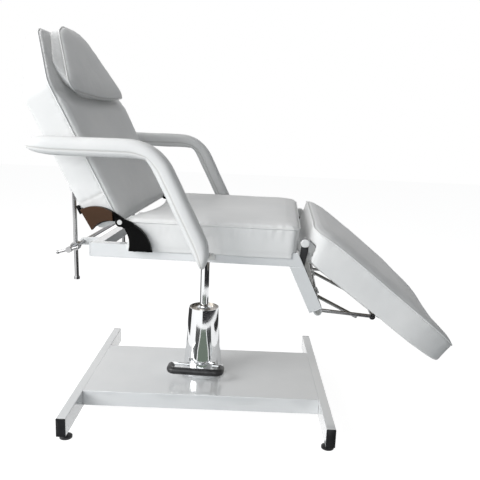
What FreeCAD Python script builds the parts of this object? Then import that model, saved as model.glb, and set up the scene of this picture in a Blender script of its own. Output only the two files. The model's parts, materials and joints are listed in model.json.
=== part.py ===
import FreeCAD, Part
import math
import os
import Sketcher
from FreeCAD import Placement, Rotation, Vector

os.makedirs("parts", exist_ok=True)
doc = FreeCAD.newDocument("beauty_chair")
sheet = doc.addObject("Spreadsheet::Sheet", "sizes")

# Driving dimensions in millimetres and degrees.
# X runs from the head end to the foot end, Z is up, and the pump's axis is the natural centre line.
SIZES = dict(
    # place of the pump's axis, and how far the base is turned under the chair
    pump_x=-131.84, base_turn=3.56, base_shift=9.0,
    # base
    base_span=806.0, rail_length=750.0, base_tube_w=28.0, base_tube_h=56.0, base_wall=2.0,
    tray_depth=388.0, tray_height=49.0, tray_sheet=3.0,
    cap_plate=3.0, cap_plug=14.0, cap_slack=0.2,
    foot_height=28.0, foot_disc_d=38.0, foot_disc_h=9.0, foot_stem_d=10.0, foot_inset=46.0, foot_nut_h=6.0,
    # pump
    flange_d=152.0, flange_h=12.0, flange_pcd=100.0, flange_bolt_d=8.0, bolt_slack=0.4,
    cylinder_d=60.0, cylinder_bore=50.0, cylinder_floor=8.0, cylinder_h=206.0, gland_h=12.0,
    cover_foot_d=132.0, cover_top_d=102.0, cover_h=220.0, cover_wall=2.0,
    cap_disc_h=6.0, wiper_d=46.0, wiper_h=9.0, running_gap=0.05,
    rod_d=29.0, rod_down=103.0, piston_h=20.0, socket_roof=6.0,
    # pedal
    pedal_back=46.0, pedal_up=38.0, pedal_shaft_d=10.0, lug_at=20.0, pedal_left=-98.0, pedal_right=70.0,
    pedal_reach=58.0, pedal_bar_d=12.0, sleeve_d=23.0, pedal_bend=16.0,
    # seat frame
    frame_up=460.0, frame_half=300.0, tube_w=30.0, tube_h=40.0, tube_wall=2.0,
    rear_end=-295.0, rear_tube=28.0, rear_tube_in=3.0,
    leg_top_x=297.0, leg_slope=64.3, leg_depth=38.0, leg_drop=136.0,
    bar_side=30.0, bar_from_end=24.0, tab_thick=6.0, tab_width=24.0, plug_plate=3.0, plug_depth=12.0,
    # column head
    socket_d=62.0, socket_h=52.0, socket_top_d=90.0, plate_thick=8.0, plate_length=240.0, plate_width=200.0,
    cross_tube=30.0, cross_at=85.0, mount_bolt_d=10.0,
    # seat
    seat_rear=-192.0, seat_front=300.0, seat_over=12.0, seat_edge=68.0, seat_skirt=18.0, crown=20.0,
    seat_scoop=38.0, seat_corner=34.0, back_crown=22.0, board_thick=14.0, board_inset=26.0, soft_gap=0.4,
    # back section
    back_hinge_x=-202.0, back_hinge_up=67.0, back_angle=63.0, back_set=7.6, back_end=599.0,
    back_over=7.0, back_flare=12.0, back_thick=85.0, head_half=186.0, shoulder=425.0,
    head_thin=38.0, thin_from=400.0, back_bevel=24.0, back_bevel_run=70.0,
    # leg section
    leg_hinge_x=316.0, leg_hinge_up=30.0, leg_angle=36.6, leg_start=-10.0, leg_end=558.0, leg_over=9.0,
    foot_taper=45.0, taper_from=425.0, foot_drop=26.0, foot_drop_run=70.0, leg_top=52.0, leg_under=35.0,
    leg_undercut=28.0,
    # head pillow
    pillow_from=366.0, pillow_low_half=212.0, pillow_wide_at=418.0, pillow_half=262.0,
    pillow_mid_at=520.0, pillow_mid_half=192.0, pillow_to=592.0, pillow_top_half=90.0,
    under_from=384.0, under_low_half=150.0, under_wide_at=440.0, under_half=240.0,
    under_mid_half=206.0, under_top_half=125.0, pillow_thick=44.0, head_flat=8.0, flat_from=390.0,
    # back hinge plates and covers
    plate=5.0, plate_gap=0.4, plate_clear=3.5, knuckle=14.0, pivot_d=10.0, cover_thick=9.0, boss_d=20.0,
    # back lock rods
    lock_in=42.0, lock_rod_d=12.0, lock_reach=151.2, lock_half=84.9, lock_tilt=1.0, lock_tail=93.0,
    head_d=26.0, head_w=22.0, shaft_d=12.0, lug_y=190.0, lug_thick=8.0, eye_pin_d=6.0, ear_thick=5.0,
    screw_d=10.0, tommy_d=8.0, tommy_rear=35.0, tommy_front=27.0, tommy_out=12.0,
    tommy_slope=16.0, screw_head_d=17.0,
    # leg stays
    stay_in=50.0, stay_length=160.0, stay_rest=-3.7, stay_d=11.0, stay_eye_d=22.0, stay_pin_d=8.0,
    stay_drop=16.94, stay_forward=1.86, slot_level=50.0, slot_slack=0.8, side_plate=4.0,
    slot_from=74.0, slot_to=346.0, slot_y=118.0,
    # leg release levers
    lever_y=150.0, lever_d=12.0, lever_length=142.0, lever_slope=25.5, lever_shaft_half=175.0,
    release_drop=13.0,
    # armrests
    arm_out=94.0, arm_w=56.0, arm_t=50.0, arm_up=315.0, arm_rear=-423.0, arm_corner_x=-98.0, arm_slope=64.0,
    arm_bend=112.0, arm_foot_up=28.0, foot_tip=24.0, arm_round=20.0, core_w=26.0, core_t=8.0,
    arm_tube_d=16.0, arm_tube_up=24.0, arm_flange=44.0, arm_flange_h=30.0, arm_flange_t=3.0,
    arm_bolt_d=6.0, tip_length=46.0,
)
for row, (name, value) in enumerate(SIZES.items(), start=1):
    sheet.set(f"A{row}", name)
    sheet.set(f"B{row}", str(value))
    sheet.setAlias(f"B{row}", name)
doc.recompute()


def mm(name):
    return float(sheet.get(name))


X_AXIS = Vector(1, 0, 0)
Y_AXIS = Vector(0, 1, 0)
Z_AXIS = Vector(0, 0, 1)
SIDES = (("left", 1), ("right", -1))
nodes = []

# Levels and half widths that several pieces share
seat_half = mm("frame_half") + mm("seat_over")
back_half = mm("frame_half") + mm("back_over")
leg_half = mm("frame_half") + mm("leg_over")
foot_half = leg_half - mm("foot_taper")
arm_y = mm("frame_half") + mm("arm_out")
lock_y = mm("frame_half") - mm("lock_in")
stay_y = mm("frame_half") - mm("stay_in")
tommy_y = mm("frame_half") + mm("tommy_out")
base_top = mm("foot_height") + mm("base_tube_h")
frame_bottom = base_top + mm("frame_up")
frame_top = frame_bottom + mm("tube_h")
back_hinge = Vector(mm("back_hinge_x"), 0, frame_top + mm("back_hinge_up"))
back_lean = math.radians(mm("back_angle"))
back_seat = back_hinge - Vector(math.sin(back_lean), 0, math.cos(back_lean)) * mm("back_set")
leg_hinge = Vector(mm("leg_hinge_x"), 0, frame_top + mm("leg_hinge_up"))
pump_origin = Vector(mm("pump_x"), 0, 0)


def keep(obj, label):
    """Name a finished sub-part and put it on the list of nodes."""
    obj.Label = label
    nodes.append(obj)
    return obj


def feature(label, shape, at=Vector(), turn=0.0, axis=Y_AXIS):
    """A sub-part whose form comes from Part's own functions, placed from the pump's axis."""
    obj = doc.addObject("Part::Feature", label)
    obj.Shape = shape
    obj.Placement = Placement(pump_origin + at, Rotation(axis, turn))
    return keep(obj, label)


def box(name, size, corner):
    """A block whose three sides and lowest corner are expressions of the sheet."""
    obj = doc.addObject("Part::Box", name)
    for side, expression in zip(("Length", "Width", "Height"), size):
        obj.setExpression(side, expression)
    for axis, expression in zip("xyz", corner):
        obj.setExpression(f"Placement.Base.{axis}", expression)
    return obj


def cut(label, body, tools, turn=None):
    """Take the tools out of the body, and stand the result on the pump's axis."""
    result = body
    for number, tool in enumerate(tools):
        step = doc.addObject("Part::Cut", f"{label}_cut{number}")
        step.Base = result
        step.Tool = tool
        result = step
    if turn:
        result.Placement = Placement(Vector(), Rotation(Z_AXIS, 1.0))
        result.setExpression("Placement.Rotation.Angle", turn)
    result.setExpression("Placement.Base.x", "sizes.pump_x")
    return keep(result, label)


def revolved(label, profile, height):
    """A turned piece: a closed sketch of (radius, height) expressions, revolved about the pump's axis."""
    body = doc.addObject("PartDesign::Body", label)
    sketch = body.newObject("Sketcher::SketchObject", f"{label}_profile")
    plane = [item for item in body.Origin.OriginFeatures if item.Role == "XZ_Plane"][0]
    sketch.AttachmentSupport = [(plane, "")]
    sketch.MapMode = "FlatFace"
    points = [Vector(float(sheet_value(x)), float(sheet_value(z)), 0) for x, z in profile]
    count = len(points)
    for index in range(count):
        sketch.addGeometry(Part.LineSegment(points[index], points[(index + 1) % count]), False)
    for index in range(count):
        sketch.addConstraint(Sketcher.Constraint("Coincident", index, 2, (index + 1) % count, 1))
    for index, pair in enumerate(profile):
        for expression, kind, axis_line in zip(pair, ("DistanceX", "DistanceY"), (-2, -1)):
            if expression == "0":
                sketch.addConstraint(Sketcher.Constraint("PointOnObject", index, 1, axis_line))
                continue
            place = points[index].x if kind == "DistanceX" else points[index].y
            number = sketch.addConstraint(Sketcher.Constraint(kind, -1, 1, index, 1, place))
            sketch.setExpression(f"Constraints[{number}]", expression)
    turn = body.newObject("PartDesign::Revolution", f"{label}_turn")
    turn.Profile = sketch
    turn.ReferenceAxis = (sketch, ["V_Axis"])
    turn.Angle = 360.0
    body.setExpression("Placement.Base.x", "sizes.pump_x")
    body.setExpression("Placement.Base.z", height)
    return keep(body, label)


def sheet_value(expression):
    """The present value of an expression of the sheet, used to draw a sketch near its solved place."""
    for name in sorted(SIZES, key=len, reverse=True):
        expression = expression.replace(f"sizes.{name}", str(mm(name)))
    total = 0.0
    for term in expression.replace("- ", "+ -").split("+"):
        product = 1.0
        for factor in term.split("*"):
            parts = [float(value) for value in factor.split("/")]
            quotient = parts[0]
            for divisor in parts[1:]:
                quotient /= divisor
            product *= quotient
        total += product
    return total


def prism(points, low, high):
    """A plate between two Y levels whose outline is a list of (x, z) points."""
    corners = [Vector(x, low, z) for x, z in points]
    face = Part.Face(Part.makePolygon(corners + corners[:1]))
    return face.extrude(Vector(0, high - low, 0))


def rod(diameter, start, end):
    """A round bar from one point to another."""
    return Part.makeCylinder(diameter / 2, (end - start).Length, start, end - start)


def both_sides(shape):
    """The shape and its mirror image in the chair's middle plane, as one group of solids."""
    return Part.makeCompound([shape, shape.mirror(Vector(), Y_AXIS)])


def offset_points(points, inset):
    """Move every side of a counter-clockwise outline inwards by the same distance."""
    moved = []
    for index, point in enumerate(points):
        before = Vector(*points[index - 1])
        here = Vector(*point)
        after = Vector(*points[(index + 1) % len(points)])
        first = Z_AXIS.cross(here - before).normalize()
        second = Z_AXIS.cross(after - here).normalize()
        moved.append(here + (first + second) * (inset / (1 + first.dot(second))))
    return moved


def rounded_outline(points, radii, level, scoops=None):
    """A flat outline with every corner rounded, and with chosen sides bowed inwards."""
    corners = []
    for index, here in enumerate(points):
        back = (points[index - 1] - here).normalize()
        ahead = (points[(index + 1) % len(points)] - here).normalize()
        half = back.getAngle(ahead) / 2
        reach = radii[index] / math.tan(half)
        middle = here + (back + ahead).normalize() * (radii[index] / math.sin(half) - radii[index])
        corners.append((here + back * reach, middle, here + ahead * reach))
    lift = Vector(0, 0, level)
    edges = []
    for index, (start, middle, end) in enumerate(corners):
        nearby = corners[(index + 1) % len(corners)][0]
        edges.append(Part.Arc(start + lift, middle + lift, end + lift).toShape())
        if scoops and index in scoops:
            inward = Z_AXIS.cross(nearby - end).normalize() * scoops[index]
            edges.append(Part.Arc(end + lift, (end + nearby) / 2 + inward + lift, nearby + lift).toShape())
        else:
            edges.append(Part.LineSegment(end + lift, nearby + lift).toShape())
    return Part.Wire(edges)


def padded_form(points_at, radii, levels, scoops=None):
    """A cushion lofted through outlines: each level gives its height and how far its sides are drawn in."""
    outlines = []
    for level, inset in levels:
        rounder = [radius + 0.25 * inset for radius in radii]
        outlines.append(rounded_outline(offset_points(points_at(level), inset), rounder, level, scoops))
    return Part.makeLoft(outlines, True, True)


def board_form(points, radii, low, thick, scoops=None):
    """A flat plywood board with rounded corners."""
    outline = rounded_outline(points, radii, low, scoops)
    return Part.Face(outline).extrude(Vector(0, 0, thick))


# Base
# Two steel tubes lie across the ends of a folded sheet tray, and stand on four levelling feet.

def base_tube(label, corner_x):
    outer = box(f"{label}_outer", ("sizes.base_tube_w", "sizes.rail_length", "sizes.base_tube_h"),
                (corner_x, "-sizes.rail_length / 2", "sizes.foot_height"))
    hollow = box(f"{label}_hollow",
                 ("sizes.base_tube_w - 2 * sizes.base_wall", "sizes.rail_length",
                  "sizes.base_tube_h - 2 * sizes.base_wall"),
                 (f"{corner_x} + sizes.base_wall", "-sizes.rail_length / 2",
                  "sizes.foot_height + sizes.base_wall"))
    tools = [hollow]
    for side, sign in (("far", "1"), ("near", "-1")):
        hole = doc.addObject("Part::Cylinder", f"{label}_{side}_hole")
        hole.setExpression("Radius", "sizes.foot_stem_d / 2 + sizes.cap_slack")
        hole.setExpression("Height", "2 * sizes.base_wall")
        hole.setExpression("Placement.Base.x", f"{corner_x} + sizes.base_tube_w / 2")
        hole.setExpression("Placement.Base.y", f"{sign} * (sizes.rail_length / 2 - sizes.foot_inset)")
        hole.setExpression("Placement.Base.z", "sizes.foot_height - sizes.base_wall / 2")
        tools.append(hole)
    cut(label, outer, tools, "sizes.base_turn")


base_tube("base_rail_foot", "sizes.base_shift + sizes.base_span / 2 - sizes.base_tube_w")
base_tube("base_rail_head", "sizes.base_shift - sizes.base_span / 2")


def base_tray():
    width = "sizes.base_span - 2 * sizes.base_tube_w"
    outer = box("tray_outer", (width, "sizes.tray_depth", "sizes.tray_height"),
                ("sizes.base_shift + sizes.base_tube_w - sizes.base_span / 2", "-sizes.tray_depth / 2",
                 "sizes.foot_height + sizes.base_tube_h - sizes.tray_height"))
    hollow = box("tray_hollow",
                 (f"{width} - 2 * sizes.tray_sheet", "sizes.tray_depth - 2 * sizes.tray_sheet",
                  "sizes.tray_height"),
                 ("sizes.base_shift + sizes.base_tube_w - sizes.base_span / 2 + sizes.tray_sheet",
                  "sizes.tray_sheet - sizes.tray_depth / 2",
                  "sizes.foot_height + sizes.base_tube_h - sizes.tray_height - sizes.tray_sheet"))
    tools = [hollow]
    for number in range(4):
        hole = doc.addObject("Part::Cylinder", f"tray_hole{number}")
        across = "1" if number in (0, 3) else "-1"
        along = "1" if number < 2 else "-1"
        hole.setExpression("Radius", "(sizes.flange_bolt_d + sizes.bolt_slack) / 2")
        hole.setExpression("Height", "3 * sizes.tray_sheet")
        hole.setExpression("Placement.Base.x", f"{across} * sizes.flange_pcd / 2 * cos(45)")
        hole.setExpression("Placement.Base.y", f"{along} * sizes.flange_pcd / 2 * cos(45)")
        hole.setExpression("Placement.Base.z",
                           "sizes.foot_height + sizes.base_tube_h - 2 * sizes.tray_sheet")
        tools.append(hole)
    cut("base_tray", outer, tools, "sizes.base_turn")


base_tray()


def rail_ends():
    """The four places on the base's tubes: x of the tube's middle line, and which way its end points."""
    middle = (mm("base_span") - mm("base_tube_w")) / 2
    return [(mm("base_shift") + x, sign) for x in (-middle, middle) for sign in (-1, 1)]


def rail_end_caps():
    wide = mm("base_tube_w")
    high = mm("base_tube_h")
    plug_w = wide - 2 * mm("base_wall") - 2 * mm("cap_slack")
    plug_h = high - 2 * mm("base_wall") - 2 * mm("cap_slack")
    caps = []
    for x, sign in rail_ends():
        low = mm("foot_height")
        plate = Part.makeBox(wide, mm("cap_plate"), high, Vector(x - wide / 2, mm("rail_length") / 2, low))
        plug = Part.makeBox(plug_w, mm("cap_plug"), plug_h,
                            Vector(x - plug_w / 2, mm("rail_length") / 2 - mm("cap_plug"),
                                   low + (high - plug_h) / 2))
        cap = plate.fuse(plug)
        caps.append(cap if sign > 0 else cap.mirror(Vector(), Y_AXIS))
    feature("rail_end_caps", Part.makeCompound(caps), turn=mm("base_turn"), axis=Z_AXIS)


rail_end_caps()


def levelling_feet():
    feet = []
    nuts = []
    for x, sign in rail_ends():
        at = Vector(x, sign * (mm("rail_length") / 2 - mm("foot_inset")), 0)
        disc = Part.makeCylinder(mm("foot_disc_d") / 2, mm("foot_disc_h") * 0.6, at)
        dome = Part.makeCone(mm("foot_disc_d") / 2, mm("foot_stem_d"), mm("foot_disc_h") * 0.4,
                             at + Vector(0, 0, mm("foot_disc_h") * 0.6))
        stem = Part.makeCylinder(mm("foot_stem_d") / 2, mm("foot_height") + 14 - mm("foot_disc_h"),
                                 at + Vector(0, 0, mm("foot_disc_h")))
        feet.append(disc.fuse([dome, stem]))
        hexagon = [at + Vector(mm("foot_stem_d") * 0.9 * math.cos(math.radians(60 * side)),
                               mm("foot_stem_d") * 0.9 * math.sin(math.radians(60 * side)),
                               mm("foot_height") - mm("foot_nut_h")) for side in range(6)]
        nut = Part.Face(Part.makePolygon(hexagon + hexagon[:1])).extrude(Vector(0, 0, mm("foot_nut_h")))
        bore = Part.makeCylinder(mm("foot_stem_d") / 2 + mm("cap_slack"), mm("foot_height"), at)
        nuts.append(nut.cut(bore))
    feature("levelling_feet", Part.makeCompound(feet), turn=mm("base_turn"), axis=Z_AXIS)
    feature("foot_nuts", Part.makeCompound(nuts), turn=mm("base_turn"), axis=Z_AXIS)


levelling_feet()


# Pump
# The flange is bolted to the tray; the cylinder, its piston and the tapered cover stand on it.

def drill(body, reach, hole, count):
    """Drill a circle of equal holes through a turned piece."""
    sketch = body.newObject("Sketcher::SketchObject", f"{body.Name}_hole")
    plane = [item for item in body.Origin.OriginFeatures if item.Role == "XY_Plane"][0]
    sketch.AttachmentSupport = [(plane, "")]
    sketch.MapMode = "FlatFace"
    start = sheet_value(reach)
    sketch.addGeometry(Part.Circle(Vector(start, start, 0), Z_AXIS, sheet_value(hole) / 2), False)
    for kind in ("DistanceX", "DistanceY"):
        number = sketch.addConstraint(Sketcher.Constraint(kind, -1, 1, 0, 3, start))
        sketch.setExpression(f"Constraints[{number}]", reach)
    number = sketch.addConstraint(Sketcher.Constraint("Diameter", 0, sheet_value(hole)))
    sketch.setExpression(f"Constraints[{number}]", hole)
    pocket = body.newObject("PartDesign::Pocket", f"{body.Name}_drill")
    pocket.Profile = sketch
    pocket.Type = "ThroughAll"
    pocket.Reversed = True
    pattern = body.newObject("PartDesign::PolarPattern", f"{body.Name}_holes")
    pattern.Originals = [pocket]
    pattern.Axis = (sketch, ["N_Axis"])
    pattern.Angle = 360.0
    pattern.Occurrences = count
    body.Tip = pattern


def pump_flange():
    body = revolved("pump_flange",
                    [("0", "0"), ("sizes.flange_d / 2", "0"),
                     ("sizes.flange_d / 2", "sizes.flange_h * 0.75"),
                     ("sizes.flange_d / 2 - sizes.flange_h * 0.25", "sizes.flange_h"),
                      ("0", "sizes.flange_h")],
                    "sizes.foot_height + sizes.base_tube_h")
    drill(body, "sizes.flange_pcd / 2 * 0.70711", "sizes.flange_bolt_d + sizes.bolt_slack", 4)
    body.Placement = Placement(Vector(), Rotation(Z_AXIS, 1.0))
    body.setExpression("Placement.Rotation.Angle", "sizes.base_turn")


pump_flange()


def flange_bolts():
    bolts = []
    top = base_top + mm("flange_h")
    for number in range(4):
        turn = math.radians(45 + 90 * number)
        at = Vector(mm("flange_pcd") / 2 * math.cos(turn), mm("flange_pcd") / 2 * math.sin(turn), 0)
        shank = Part.makeCylinder(mm("flange_bolt_d") / 2, mm("flange_h") + mm("tray_sheet") + 8,
                                  at + Vector(0, 0, base_top - mm("tray_sheet") - 8))
        head = Part.makeCylinder(mm("flange_bolt_d") * 0.8, 5, at + Vector(0, 0, top))
        bolts.append(shank.fuse(head))
    feature("flange_bolts", Part.makeCompound(bolts), turn=mm("base_turn"), axis=Z_AXIS)


flange_bolts()

FLANGE_TOP = "sizes.foot_height + sizes.base_tube_h + sizes.flange_h"
ROD_BORE = "sizes.rod_d / 2 + sizes.running_gap"

revolved("pump_cylinder",
         [("0", "0"), ("sizes.cylinder_d / 2", "0"), ("sizes.cylinder_d / 2", "sizes.cylinder_h"),
          (ROD_BORE, "sizes.cylinder_h"), (ROD_BORE, "sizes.cylinder_h - sizes.gland_h"),
          ("sizes.cylinder_bore / 2", "sizes.cylinder_h - sizes.gland_h"),
          ("sizes.cylinder_bore / 2", "sizes.cylinder_floor"), ("0", "sizes.cylinder_floor")],
         FLANGE_TOP)
revolved("piston_head",
         [("0", "0"), ("sizes.cylinder_bore / 2 - sizes.running_gap", "0"),
          ("sizes.cylinder_bore / 2 - sizes.running_gap", "sizes.piston_h"), ("0", "sizes.piston_h")],
         f"{FLANGE_TOP} + sizes.cylinder_floor + sizes.rod_down")
ROD_LENGTH = ("sizes.frame_up - sizes.plate_thick - sizes.socket_roof - sizes.flange_h"
              " - sizes.cylinder_floor - sizes.rod_down - sizes.piston_h")
revolved("piston_rod",
         [("0", "0"), ("sizes.rod_d / 2", "0"), ("sizes.rod_d / 2", f"{ROD_LENGTH} - 2"),
          ("sizes.rod_d / 2 - 2", f"{ROD_LENGTH} - 0.2"), ("0", f"{ROD_LENGTH} - 0.2")],
         f"{FLANGE_TOP} + sizes.cylinder_floor + sizes.rod_down + sizes.piston_h")
revolved("cover_cap",
         [("sizes.rod_d / 2 + 1", "0"), ("sizes.cover_top_d / 2 - sizes.cover_wall + 0.3", "0"),
          ("sizes.cover_top_d / 2 - sizes.cover_wall + 0.3", "sizes.cap_disc_h"),
          ("sizes.rod_d / 2 + 1", "sizes.cap_disc_h")],
         f"{FLANGE_TOP} + sizes.cylinder_h")
revolved("rod_wiper",
         [(ROD_BORE, "0"), ("sizes.wiper_d / 2", "0"), ("sizes.wiper_d / 2", "sizes.wiper_h - 3"),
          ("sizes.wiper_d / 2 - 4", "sizes.wiper_h"), (ROD_BORE, "sizes.wiper_h")],
         f"{FLANGE_TOP} + sizes.cylinder_h + sizes.cap_disc_h")


def pump_cover():
    cones = []
    for name, wall in (("cover_outer", "0"), ("cover_inner", "sizes.cover_wall")):
        cone = doc.addObject("Part::Cone", name)
        cone.setExpression("Radius1", f"sizes.cover_foot_d / 2 - {wall}")
        cone.setExpression("Radius2", f"sizes.cover_top_d / 2 - {wall}")
        cone.setExpression("Height", "sizes.cover_h")
        cone.setExpression("Placement.Base.z", FLANGE_TOP)
        cones.append(cone)
    hole = doc.addObject("Part::Cylinder", "cover_hole")
    hole.Placement = Placement(Vector(), Rotation(Y_AXIS, 90))
    hole.setExpression("Radius", "sizes.pedal_shaft_d / 2 + 1.5")
    hole.setExpression("Height", "sizes.flange_d")
    hole.setExpression("Placement.Base.x", "-sizes.flange_d / 2")
    hole.setExpression("Placement.Base.y", "-sizes.pedal_back")
    hole.setExpression("Placement.Base.z", "sizes.foot_height + sizes.base_tube_h + sizes.pedal_up")
    cut("pump_cover", cones[0], [cones[1], hole])


pump_cover()


# Pedal
# A bent bar with a rubber sleeve is welded to a shaft that turns in two lugs under the cover.

pedal_axis = Vector(0, -mm("pedal_back"), base_top + mm("pedal_up"))


def pedal_lugs():
    lugs = []
    thick = 6
    for sign in (-1, 1):
        corner = Vector(sign * mm("lug_at") - thick / 2, -mm("pedal_back") - 10, base_top + mm("flange_h"))
        lug = Part.makeBox(thick, 20, mm("pedal_up") - mm("flange_h") + 10, corner)
        bore = Part.makeCylinder(mm("pedal_shaft_d") / 2 + mm("running_gap"), 4 * thick,
                                 Vector(corner.x - thick, pedal_axis.y, pedal_axis.z), X_AXIS)
        lugs.append(lug.cut(bore))
    feature("pedal_lugs", Part.makeCompound(lugs))


pedal_lugs()


def pedal_path(start_gap):
    """The bar's middle line: forward from the shaft, across the front, and back to the shaft."""
    left = mm("pedal_left")
    right = mm("pedal_right")
    front = -mm("pedal_reach")
    bend = mm("pedal_bend")
    knee = bend * (1 - math.sqrt(0.5))
    edges = [
        Part.LineSegment(Vector(left, -start_gap, 0), Vector(left, front + bend, 0)).toShape(),
        Part.Arc(Vector(left, front + bend, 0), Vector(left + knee, front + knee, 0),
                 Vector(left + bend, front, 0)).toShape(),
        Part.LineSegment(Vector(left + bend, front, 0), Vector(right - bend, front, 0)).toShape(),
        Part.Arc(Vector(right - bend, front, 0), Vector(right - knee, front + knee, 0),
                 Vector(right, front + bend, 0)).toShape(),
        Part.LineSegment(Vector(right, front + bend, 0), Vector(right, -start_gap, 0)).toShape(),
    ]
    return Part.Wire(edges)


def pedal_pipe(diameter, start_gap):
    ring = Part.Wire(Part.makeCircle(diameter / 2, Vector(mm("pedal_left"), -start_gap, 0), Y_AXIS))
    return pedal_path(start_gap).makePipeShell([ring], True, False)


def pedal():
    shaft = rod(mm("pedal_shaft_d"), Vector(mm("pedal_left"), 0, 0), Vector(mm("pedal_right"), 0, 0))
    bar = pedal_pipe(mm("pedal_bar_d"), 0)
    round_end = mm("pedal_bar_d") / 2
    ends = [Part.makeSphere(round_end, Vector(mm(end), 0, 0)) for end in ("pedal_left", "pedal_right")]
    feature("pedal_bar", bar.fuse([shaft] + ends).removeSplitter(), pedal_axis)
    sleeve = pedal_pipe(mm("sleeve_d"), 17)
    core = pedal_pipe(mm("pedal_bar_d") + mm("cap_slack"), 10)
    feature("pedal_sleeve", sleeve.cut(core), pedal_axis)


pedal()


# Column head
# The rod turns in a socket under a plate that is bolted to two tubes between the seat rails.

revolved("column_socket",
         [(ROD_BORE, "0"), ("sizes.socket_d / 2", "0"), ("sizes.socket_d / 2", "sizes.socket_h - 12"),
          ("sizes.socket_top_d / 2", "sizes.socket_h - 8"), ("sizes.socket_top_d / 2", "sizes.socket_h"),
          ("0", "sizes.socket_h"), ("0", "sizes.socket_h - sizes.socket_roof"),
          (ROD_BORE, "sizes.socket_h - sizes.socket_roof")],
         "sizes.foot_height + sizes.base_tube_h + sizes.frame_up - sizes.plate_thick - sizes.socket_h")


def bolt_places():
    """Where the four column bolts go up through the plate into the two tubes."""
    return [(x * mm("cross_at"), y * mm("plate_width") * 0.38) for x in (-1, 1) for y in (-1, 1)]


def column_head():
    low = frame_bottom - mm("plate_thick")
    plate = Part.makeBox(mm("plate_length"), mm("plate_width"), mm("plate_thick"),
                         Vector(-mm("plate_length") / 2, -mm("plate_width") / 2, low))
    side = mm("cross_tube")
    inner = side - 2 * mm("tube_wall")
    length = 2 * (mm("frame_half") - mm("tube_w"))
    tubes = []
    for x in (-1, 1):
        middle = x * mm("cross_at")
        tube = Part.makeBox(side, length, side, Vector(middle - side / 2, -length / 2, frame_bottom))
        hollow = Part.makeBox(inner, length, inner,
                              Vector(middle - inner / 2, -length / 2, frame_bottom + mm("tube_wall")))
        tubes.append(tube.cut(hollow))
    bolts = []
    holes = []
    for x, y in bolt_places():
        head = Part.makeCylinder(mm("mount_bolt_d") * 0.8, 6, Vector(x, y, low - 6))
        length = mm("plate_thick") + mm("tube_wall") + 10
        shank = Part.makeCylinder(mm("mount_bolt_d") / 2, length, Vector(x, y, low))
        bolts.append(head.fuse(shank))
        holes.append(Part.makeCylinder((mm("mount_bolt_d") + mm("bolt_slack")) / 2,
                                       mm("plate_thick") + mm("tube_wall") + 4, Vector(x, y, low - 2)))
    feature("mount_plate", plate.cut(holes))
    feature("seat_cross_tubes", Part.makeCompound([tube.cut(holes) for tube in tubes]))
    feature("mount_bolts", Part.makeCompound(bolts))


column_head()


# Seat frame
# Two side rails, a tube across the rear, and two raked front legs with a bar between them.

slope = math.radians(mm("leg_slope"))
leg_along = Vector(math.cos(slope), 0, -math.sin(slope))
leg_across = Vector(math.sin(slope), 0, math.cos(slope))
leg_start = Vector(mm("leg_top_x"), 0, frame_bottom)
rail_rear = mm("rear_end")
rail_foot = mm("leg_top_x") + mm("leg_depth") / 2 / math.sin(slope)
rail_nose = rail_foot - mm("tube_h") / math.tan(slope)


def seat_rails():
    wall = mm("tube_wall")
    outer_y = mm("frame_half")
    inner_y = outer_y - mm("tube_w")
    outer = prism([(rail_rear, frame_bottom), (rail_foot, frame_bottom), (rail_nose, frame_top),
                   (rail_rear, frame_top)], inner_y, outer_y)
    hollow = prism([(rail_rear, frame_bottom + wall), (rail_foot - 2 * wall, frame_bottom + wall),
                    (rail_nose - 2 * wall, frame_top - wall), (rail_rear, frame_top - wall)],
                   inner_y + wall, outer_y - wall)
    rail = outer.cut(hollow)
    feature("seat_rail_left", rail)
    feature("seat_rail_right", rail.mirror(Vector(), Y_AXIS))


seat_rails()


def leg_point(along, across):
    """A point in the plane of a front leg, measured from the middle of its top."""
    return leg_start + leg_along * along + leg_across * across


def front_legs():
    wall = mm("tube_wall")
    outlines = []
    for half in (mm("leg_depth") / 2, mm("leg_depth") / 2 - wall):
        reach = half / math.sin(slope)
        low_front = leg_point(mm("leg_drop"), half)
        low_rear = leg_point(mm("leg_drop"), -half)
        outlines.append([(mm("leg_top_x") - reach, frame_bottom), (low_rear.x, low_rear.z),
                         (low_front.x, low_front.z), (mm("leg_top_x") + reach, frame_bottom)])
    outer_y = mm("frame_half")
    inner_y = outer_y - mm("tube_w")
    leg = prism(outlines[0], inner_y, outer_y).cut(prism(outlines[1], inner_y + wall, outer_y - wall))
    feature("front_leg_left", leg)
    feature("front_leg_right", leg.mirror(Vector(), Y_AXIS))


front_legs()
stay_pivot = leg_point(mm("leg_drop") + mm("stay_drop"), mm("stay_forward"))


def stay_tabs():
    outer_y = mm("frame_half") - mm("tube_w")
    half = mm("tab_width") / 2
    reach = mm("leg_drop") + mm("stay_drop")
    ahead = mm("stay_forward")
    corners = [leg_point(along, across + ahead) for along, across in
               ((reach - 55, -half), (reach, -half), (reach, half), (reach - 55, half))]
    plate = prism([(corner.x, corner.z) for corner in corners], outer_y - mm("tab_thick"), outer_y)
    end = Part.makeCylinder(half, mm("tab_thick"), stay_pivot + Y_AXIS * (outer_y - mm("tab_thick")), Y_AXIS)
    hole = Part.makeCylinder(mm("stay_pin_d") / 2, 60, stay_pivot + Y_AXIS * (outer_y - 30), Y_AXIS)
    feature("stay_tabs", both_sides(plate.fuse(end).removeSplitter().cut(hole)))


stay_tabs()
bar_centre = leg_point(mm("leg_drop") - mm("bar_from_end"), 0)


def square_tube(side, half_length):
    outer = Part.makeBox(side, 2 * half_length, side, Vector(-side / 2, -half_length, -side / 2))
    inner = side - 2 * mm("tube_wall")
    hollow = Part.makeBox(inner, 2 * half_length, inner, Vector(-inner / 2, -half_length, -inner / 2))
    return outer.cut(hollow)


feature("front_cross_bar", square_tube(mm("bar_side"), mm("frame_half") - mm("tube_w") - mm("tab_thick")),
        bar_centre, mm("leg_slope"))

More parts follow.
